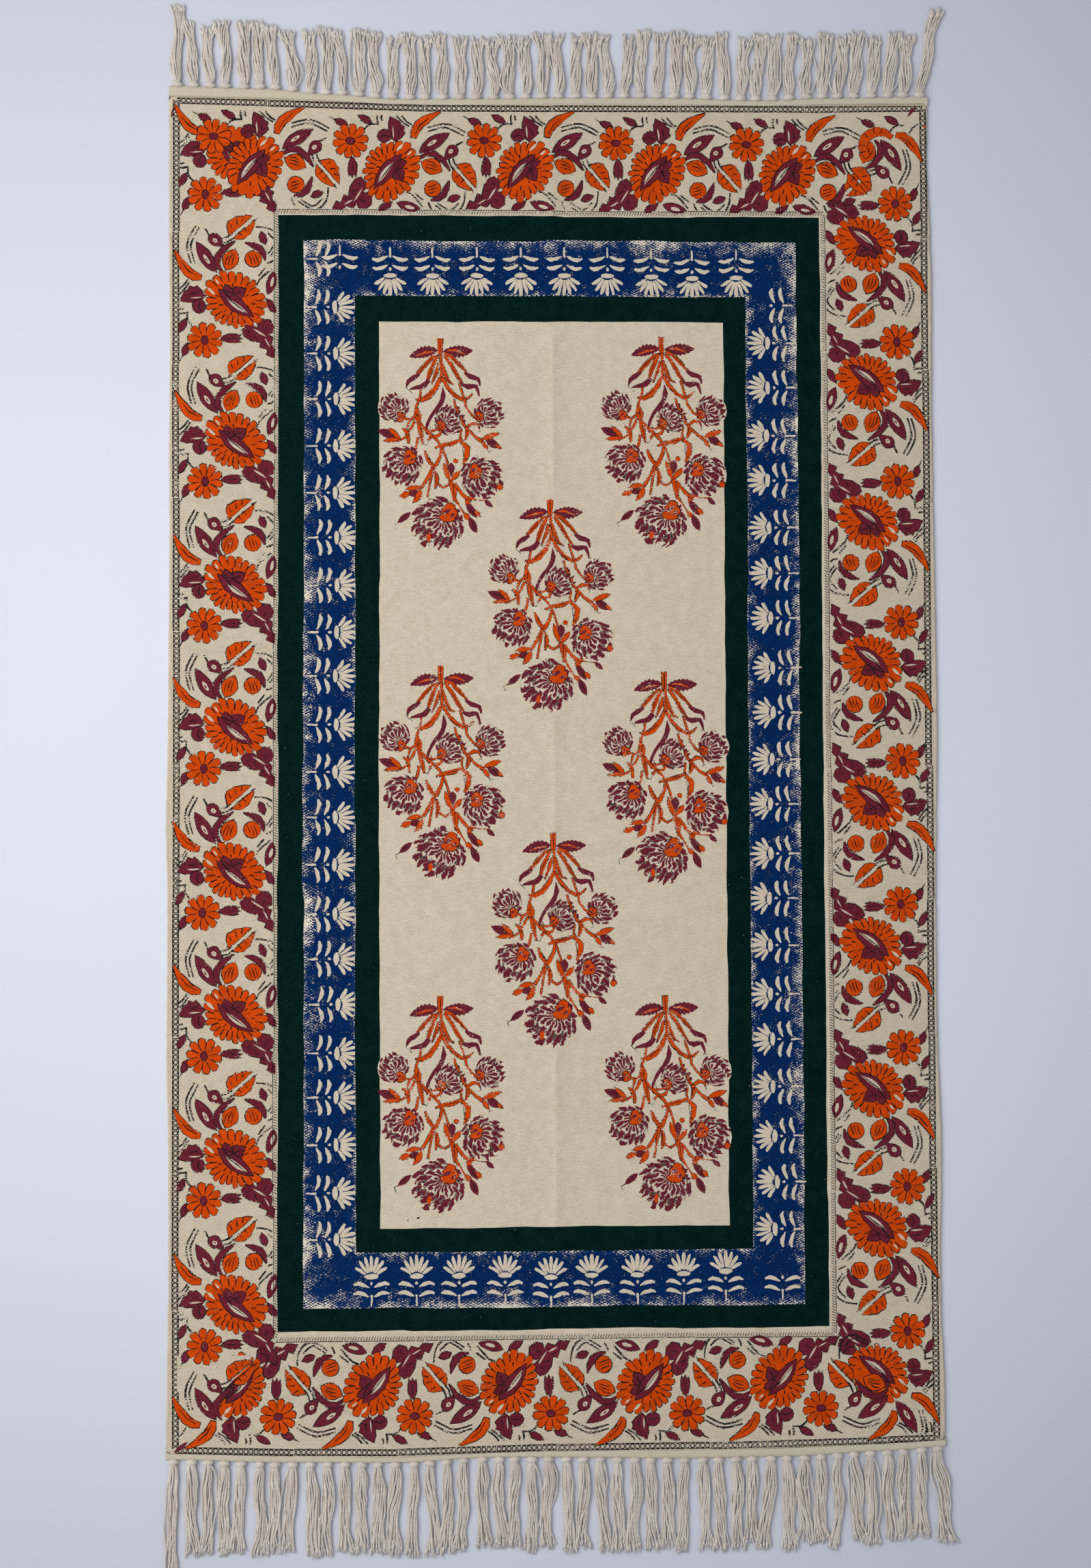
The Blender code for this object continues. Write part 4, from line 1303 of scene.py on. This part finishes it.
def carnation_drawn(m, in_mm, quick, speck, repeat, kind):
    """A carnation, in polar coordinates round its root: rings of petals, each narrow at its foot.

    The head's radius is 1 and its root lies 0.3 off its middle. Returns the inked part, and the part
    of it that is black.
    """
    wandering = add(m, "VectorMath", (quick, (0.10, 0.10, 0.0), repeat), operation="MULTIPLY_ADD")[0]
    wandering = add(m, "VectorMath", (wandering, (0.05, 0.05, 0.0)), operation="SUBTRACT")[0]
    ahead, aside, _ = add(m, "SeparateXYZ", (wandering,))
    angle = add(m, "Math", (aside, ahead), operation="ARCTAN2")[0]
    away = add(m, "CombineXYZ", (ahead, aside))[0]
    away = add(m, "VectorMath", (away,), operation="LENGTH")["Value"]
    # How far the rim is from the root in each direction, and each place's share of that way.
    cosine = add(m, "Math", (ahead, away), operation="DIVIDE")[0]
    to_rim = add(m, "Math", (cosine, cosine), operation="MULTIPLY")[0]
    to_rim = weighted(m, 0.91, (to_rim, 0.09))
    to_rim = add(m, "Math", (to_rim,), operation="SQRT")[0]
    to_rim = weighted(m, to_rim, (cosine, 0.3))
    share = add(m, "Math", (away, to_rim), operation="DIVIDE")[0]
    # Which petal it is, how far from its middle line, and how far along it.
    uneven = add(m, "TexNoise", {"Vector": in_mm, "Scale": 0.14, "Detail": 2.0})[0]
    turns = add(m, "Math", (angle, kind), operation="MULTIPLY")[0]
    turns = add(m, "Math", (turns, 2 * math.pi), operation="DIVIDE")[0]
    curl = add(m, "Math", (aside, 1.6), operation="MULTIPLY")[0]
    turns = weighted(m, turns, (uneven, 1.8), (curl, share))
    gap = add(m, "Math", (turns, 0.5), operation="PINGPONG")[0]
    own = add(m, "Math", (turns,), operation="ROUND")[0]
    own = add(m, "Math", (own, 2.4), operation="MULTIPLY")[0]
    own = add(m, "Math", (own,), operation="SINE")[0]
    rows = weighted(m, 0.85, (kind, 0.05))
    level = add(m, "Math", (share, rows), operation="MULTIPLY")[0]
    level = weighted(m, level, (own, 0.28))
    along = add(m, "Math", (level,), operation="FRACT")[0]
    full = weighted(m, 0.32, (along, -0.06), (speck, 0.16))
    blade = add(m, "Math", (gap, full), operation="LESS_THAN")[0]
    tip = weighted(m, along, (gap, 0.35))
    tip = add(m, "Math", (tip, 0.93), operation="LESS_THAN")[0]
    blade = add(m, "Math", (blade, tip), operation="MULTIPLY")[0]
    # Black lines between the outer petals.
    key_line = add(m, "Math", (gap, 0.42), operation="GREATER_THAN")[0]
    outer = add(m, "Math", (share, 0.55), operation="GREATER_THAN")[0]
    key_line = add(m, "Math", (key_line, outer), operation="MULTIPLY")[0]
    head = add(m, "Math", (blade, key_line), operation="MAXIMUM")[0]
    # The rim is as ragged as the petals are long.
    rim = weighted(m, share, (own, 0.09), (gap, 0.42))
    rim = add(m, "Math", (rim, 1.02), operation="LESS_THAN")[0]
    return add(m, "Math", (head, rim), operation="MULTIPLY")[0], key_line


def block_printed_cotton():
    """Plain-woven cream cotton, printed by hand. The ink sits on the crowns of the weave and misses its
    valleys, so lines break into dots and worn places show a diagonal hatch of bare cotton."""
    m = new_material("block_printed_cotton")
    place = add(m, "TexCoord")["Object"]
    in_mm = add(m, "VectorMath", {0: place, "Scale": 1 / MM}, operation="SCALE")[0]
    # The yarns wander by about a millimetre over a hand's width, and a little from crown to crown.
    slow = add(m, "TexNoise", {"Vector": in_mm, "Scale": 0.022, "Detail": 2.0})[1]
    quick = add(m, "TexNoise", {"Vector": in_mm, "Scale": 0.34, "Detail": 2.0})[1]
    woven = add(m, "VectorMath", (slow, (5.0, 6.0, 0.0), in_mm), operation="MULTIPLY_ADD")[0]
    woven = add(m, "VectorMath", (quick, (3.0, 1.9, 0.0), woven), operation="MULTIPLY_ADD")[0]
    waves = []
    for part, pitch in zip(add(m, "SeparateXYZ", (woven,)), (WARP_PITCH, WEFT_PITCH)):
        wave = add(m, "Math", (part, math.pi / pitch), operation="MULTIPLY")[0]
        waves.append(add(m, "Math", (wave,), operation="COSINE")[0])
    # Each crown is a small oval that stands brick-wise between its neighbours, with thin valleys between.
    crown = add(m, "Math", waves, operation="ADD")[0]
    rise = add(m, "Math", (crown,), operation="ABSOLUTE")[0]
    rise = add(m, "Math", (rise, 0.5), operation="MULTIPLY")[0]
    relief = add(m, "Math", (rise, 0.5), operation="POWER")[0]

    # Uneven yarn: slubs along the weft, specks, and blotches the size of a thumb.
    flat = add(m, "VectorMath", (in_mm, (0.16, 1.0, 0.0)), operation="MULTIPLY")[0]
    slub = add(m, "TexNoise", {"Vector": flat, "Scale": 0.7, "Detail": 2.0})[0]
    speck = add(m, "TexNoise", {"Vector": in_mm, "Scale": 0.62, "Detail": 2.0, "Roughness": 0.6})[0]
    blotch = add(m, "TexNoise", {"Vector": in_mm, "Scale": 0.075, "Detail": 3.0, "Roughness": 0.6})[0]

    # Where the block has a small repeat, its bare parts take no ink.
    repeat = add(m, "Attribute", attribute_name="repeat_place")["Vector"]
    kind = add(m, "SeparateXYZ", (repeat,))[2]
    chains = chains_drawn(m, quick, repeat, kind)
    head, key_line = carnation_drawn(m, in_mm, quick, speck, repeat, kind)
    is_head = add(m, "Math", (kind, 5.0), operation="GREATER_THAN")[0]
    key_line = add(m, "Math", (key_line, is_head), operation="MULTIPLY")[0]
    drawn = add(m, "Mix", {0: is_head, 2: chains, 3: head}, data_type="FLOAT")[0]
    is_repeat = add(m, "Math", (kind, RINGS / 2), operation="GREATER_THAN")[0]
    blank = weighted(m, 2.0, (drawn, -2.0))
    blank = add(m, "Math", (blank, is_repeat), operation="MULTIPLY")[0]

    # How much ink a spot holds, and from that how far it is covered.
    load = add(m, "Attribute", attribute_name="ink_load")["Fac"]
    load = add(m, "Math", (load, blank), operation="SUBTRACT")[0]
    hold = weighted(m, load, (relief, 0.34), (speck, 1.0), (blotch, 0.9))
    cover = add(m, "MapRange", {"Value": hold, "From Min": 1.53, "From Max": 1.64},
                interpolation_type="SMOOTHSTEP")[0]

    ink = add(m, "Attribute", attribute_name="ink")
    # The ink is painted lighter on the crowns and darker in the valleys, as painted shade of the weave, and
    # varies with specks and blotches where it took unevenly.
    ink_tone_and_painted_shade = weighted(m, -0.17, (relief, 0.36), (speck, 1.1), (blotch, 0.8))
    inked = add(m, "Mix", {0: key_line, 6: ink["Color"], 7: linear(INKS["key"][0])}, data_type="RGBA")[2]
    inked = add(m, "VectorMath", {0: inked, "Scale": ink_tone_and_painted_shade}, operation="SCALE")[0]
    # The fuzz of the crowns catches light, which shows on the dark inks.
    fuzz = weighted(m, speck, (relief, 0.5), (blotch, 0.4))
    fuzz = add(m, "MapRange", {"Value": fuzz, "From Min": 0.98, "From Max": 1.30},
               interpolation_type="SMOOTHSTEP")[0]
    inked = add(m, "VectorMath", (fuzz, (0.005, 0.011, 0.008), inked), operation="MULTIPLY_ADD")[0]

    # Cotton that the ink missed looks paler between the inked crowns.
    missed = add(m, "Math", (load, 0.0), operation="GREATER_THAN")[0]
    # The bare cotton is painted darker in the valleys of the weave and lighter on its crowns, as painted
    # shade; slubs, specks and blotches are its own uneven colour.
    shade = weighted(m, -0.27, (relief, 0.27), (slub, 0.50), (speck, 0.60), (blotch, 0.35), (missed, 0.45))
    bare = add(m, "Mix", {0: shade, 6: linear("#A49274"), 7: linear("#EEE1CB")}, data_type="RGBA")[2]
    bare = add(m, "VectorMath", {0: bare, "Scale": ink["Alpha"]}, operation="SCALE")[0]
    # Under a black line that missed, the first ink shows.
    below = add(m, "Attribute", attribute_name="ink_below")
    first_ink = add(m, "VectorMath", {0: below["Color"], "Scale": ink_tone_and_painted_shade}, operation="SCALE")[0]
    bare = add(m, "Mix", {0: below["Alpha"], 6: bare, 7: first_ink}, data_type="RGBA")[2]
    base = add(m, "Mix", {0: cover, 6: bare, 7: inked}, data_type="RGBA")[2]
    finish_material(m, base, weighted(m, relief, (slub, 0.5)), distance=0.00024, roughness=0.95, sheen=0.0)
    return m


def plied_cotton_yarn():
    """Undyed cotton yarn of several plies: a soft diagonal twist and fuzzy, slightly uneven colour."""
    m = new_material("plied_cotton_yarn")
    chart = add(m, "UVMap", uv_map="along_yarn")[0]
    around, along, _ = add(m, "SeparateXYZ", (chart,))
    # Three plies, one turn in 6 mm.
    twist = add(m, "Math", (along, 2 * math.pi / (6.0 * CHART_SCALE)), operation="MULTIPLY")[0]
    twist = weighted(m, twist, (around, 2 * math.pi * 3))
    ply = add(m, "Math", (twist,), operation="SINE")[0]
    # Fuzz about a millimetre wide, and patches of colour as wide as a finger.
    place = add(m, "TexCoord")["Object"]
    fuzz = add(m, "TexNoise", {"Vector": place, "Scale": 900.0, "Detail": 2.0})[0]
    patch = add(m, "TexNoise", {"Vector": place, "Scale": 60.0, "Detail": 2.0})[0]
    # The twist is painted faintly into the colour, lighter on the plies and darker in their grooves, as
    # painted shade; fuzz and patches are the yarn's own uneven colour.
    shade = weighted(m, -0.24, (ply, 0.05), (fuzz, 0.8), (patch, 0.8))
    base = add(m, "Mix", {0: shade, 6: linear("#B7A99A"), 7: linear("#E4DCD3")}, data_type="RGBA")[2]
    # The frayed ends are painted paler, as painted light caught by their loose fibres.
    frayed = add(m, "Math", (around, FRAYED_SHIFT - 0.5), operation="GREATER_THAN")[0]
    base = add(m, "Mix", {0: frayed, 6: base, 7: linear("#E9E1D7")}, data_type="RGBA")[2]
    finish_material(m, base, weighted(m, ply, (fuzz, 0.5)), distance=0.00006, roughness=0.95, sheen=0.1)
    return m


def header_cotton():
    """The bare hem: white weft beaten close over the warp, which shows as ribs, their crowns painted a little
    lighter as painted shade.
    """
    m = new_material("header_cotton")
    place = add(m, "TexCoord")["Object"]
    in_mm = add(m, "VectorMath", {0: place, "Scale": 1 / MM}, operation="SCALE")[0]
    ridges = []
    for part, pitch in zip(add(m, "SeparateXYZ", (in_mm,)), (WARP_PITCH, HEM_WEFT_PITCH)):
        ridge = add(m, "Math", (part, 2 * math.pi / pitch), operation="MULTIPLY")[0]
        ridges.append(add(m, "Math", (ridge,), operation="COSINE")[0])
    rib, row = ridges
    fuzz = add(m, "TexNoise", {"Vector": in_mm, "Scale": 0.8, "Detail": 3.0})[0]
    # The ribs are painted lighter on their crowns, as painted shade of the warp's relief; the fuzz is the
    # hem's own uneven colour.
    shade = weighted(m, 0.1, (rib, 0.06), (fuzz, 1.0))
    base = add(m, "Mix", {0: shade, 6: linear("#B2A78F"), 7: linear("#DCD4BE")}, data_type="RGBA")[2]
    finish_material(m, base, weighted(m, fuzz, (row, 0.3)), distance=0.0003, roughness=0.95, sheen=0.15)
    return m


def floor_with_painted_light_pool():
    """A plain pale floor, with a painted pool of light round the middle of the rug and painted shade further
    out.
    """
    m = new_material("floor_with_painted_light_pool")
    place = add(m, "TexCoord")["Object"]
    tone = add(m, "TexNoise", {"Vector": place, "Scale": 0.8, "Detail": 2.0})[0]
    base = add(m, "Mix", {0: tone, 6: linear("#C9CCD7"), 7: linear("#D0D3DD")}, data_type="RGBA")[2]
    # The painted pool of light: the floor's colour is scaled up near the middle of the rug and down further
    # out.
    away = add(m, "VectorMath", (place, (1.05, 1.0, 0.0), (0.04, -0.02, 0.0)), operation="MULTIPLY_ADD")[0]
    away = add(m, "VectorMath", (away,), operation="LENGTH")["Value"]
    light = add(m, "MapRange", {"Value": away, "From Min": 0.30, "From Max": 1.50, "To Min": 1.25,
                                "To Max": 0.86}, interpolation_type="SMOOTHSTEP")[0]
    base = add(m, "VectorMath", {0: base, "Scale": light}, operation="SCALE")[0]
    shader = m.node_tree.nodes["Principled BSDF"]
    m.node_tree.links.new(base, shader.inputs["Base Color"])
    shader.inputs["Roughness"].default_value = 0.6
    shader.inputs["Specular IOR Level"].default_value = 0.2
    return m


# The room, its light and the camera, in metres.

FLOOR_SIZE = 9.0
FLOOR_DROP = 0.0003


def make_room():
    bpy.ops.object.select_all(action="DESELECT")
    bpy.ops.mesh.primitive_plane_add(size=1.0, location=(0.0, 0.0, 0.0))
    floor = bpy.context.active_object
    floor.name = "floor"
    bpy.ops.object.mode_set(mode="EDIT")
    bpy.ops.transform.resize(value=(FLOOR_SIZE, FLOOR_SIZE, 1.0))
    bpy.ops.transform.translate(value=(0.0, 0.0, -FLOOR_DROP))
    bpy.ops.object.mode_set(mode="OBJECT")
    floor.data.materials.append(floor_with_painted_light_pool())
    floor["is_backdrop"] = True


def make_light():
    """A large window light from the left, and a cool, even room round it."""
    bpy.ops.object.light_add(type="AREA", location=(-2.1, 0.35, 2.2))
    window = bpy.context.active_object
    window.data.shape = "RECTANGLE"
    window.data.size = 2.2
    window.data.size_y = 2.6
    window.data.energy = 66.0
    window.data.color = (1.0, 0.985, 0.96)
    window.rotation_euler = (math.radians(-6.0), math.radians(-42.0), 0.0)
    world = bpy.data.worlds.new("soft_room")
    bpy.context.scene.world = world
    world.use_nodes = True
    background = world.node_tree.nodes["Background"]
    background.inputs["Color"].default_value = (0.90, 0.93, 1.0, 1.0)
    background.inputs["Strength"].default_value = 0.50


def make_camera():
    """Held over the rug, nearly straight down, as the photograph was taken."""
    bpy.ops.object.camera_add(location=(-0.0932, -0.1234, 2.5402), rotation=(0.0409, -0.0323, -0.0044))
    camera = bpy.context.active_object
    camera.data.lens = 50.0
    camera.data.sensor_fit = "VERTICAL"
    camera.data.sensor_height = 36.0
    bpy.context.scene.camera = camera


make_camera()
make_room()
make_light()
bpy.context.scene.view_settings.view_transform = "Standard"

cloth = make_cloth(block_printed_cotton())
rim = cad_rim()
yarn, hem = plied_cotton_yarn(), header_cotton()
top_fringe = make_fringe("top", rim, yarn, hem)
bottom_fringe = make_fringe("bottom", rim, yarn, hem)

for piece, node, slot in ((cloth, "rug_cloth", "printed_cotton"), (top_fringe, "fringe_top", "fringe_cotton"),
                          (bottom_fringe, "fringe_bottom", "fringe_cotton")):
    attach(piece, "root")
    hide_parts(node)

boxes = {"cad": cad_box, "visual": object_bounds()}
{name: [list(corner) for corner in box] for name, box in boxes.items()}
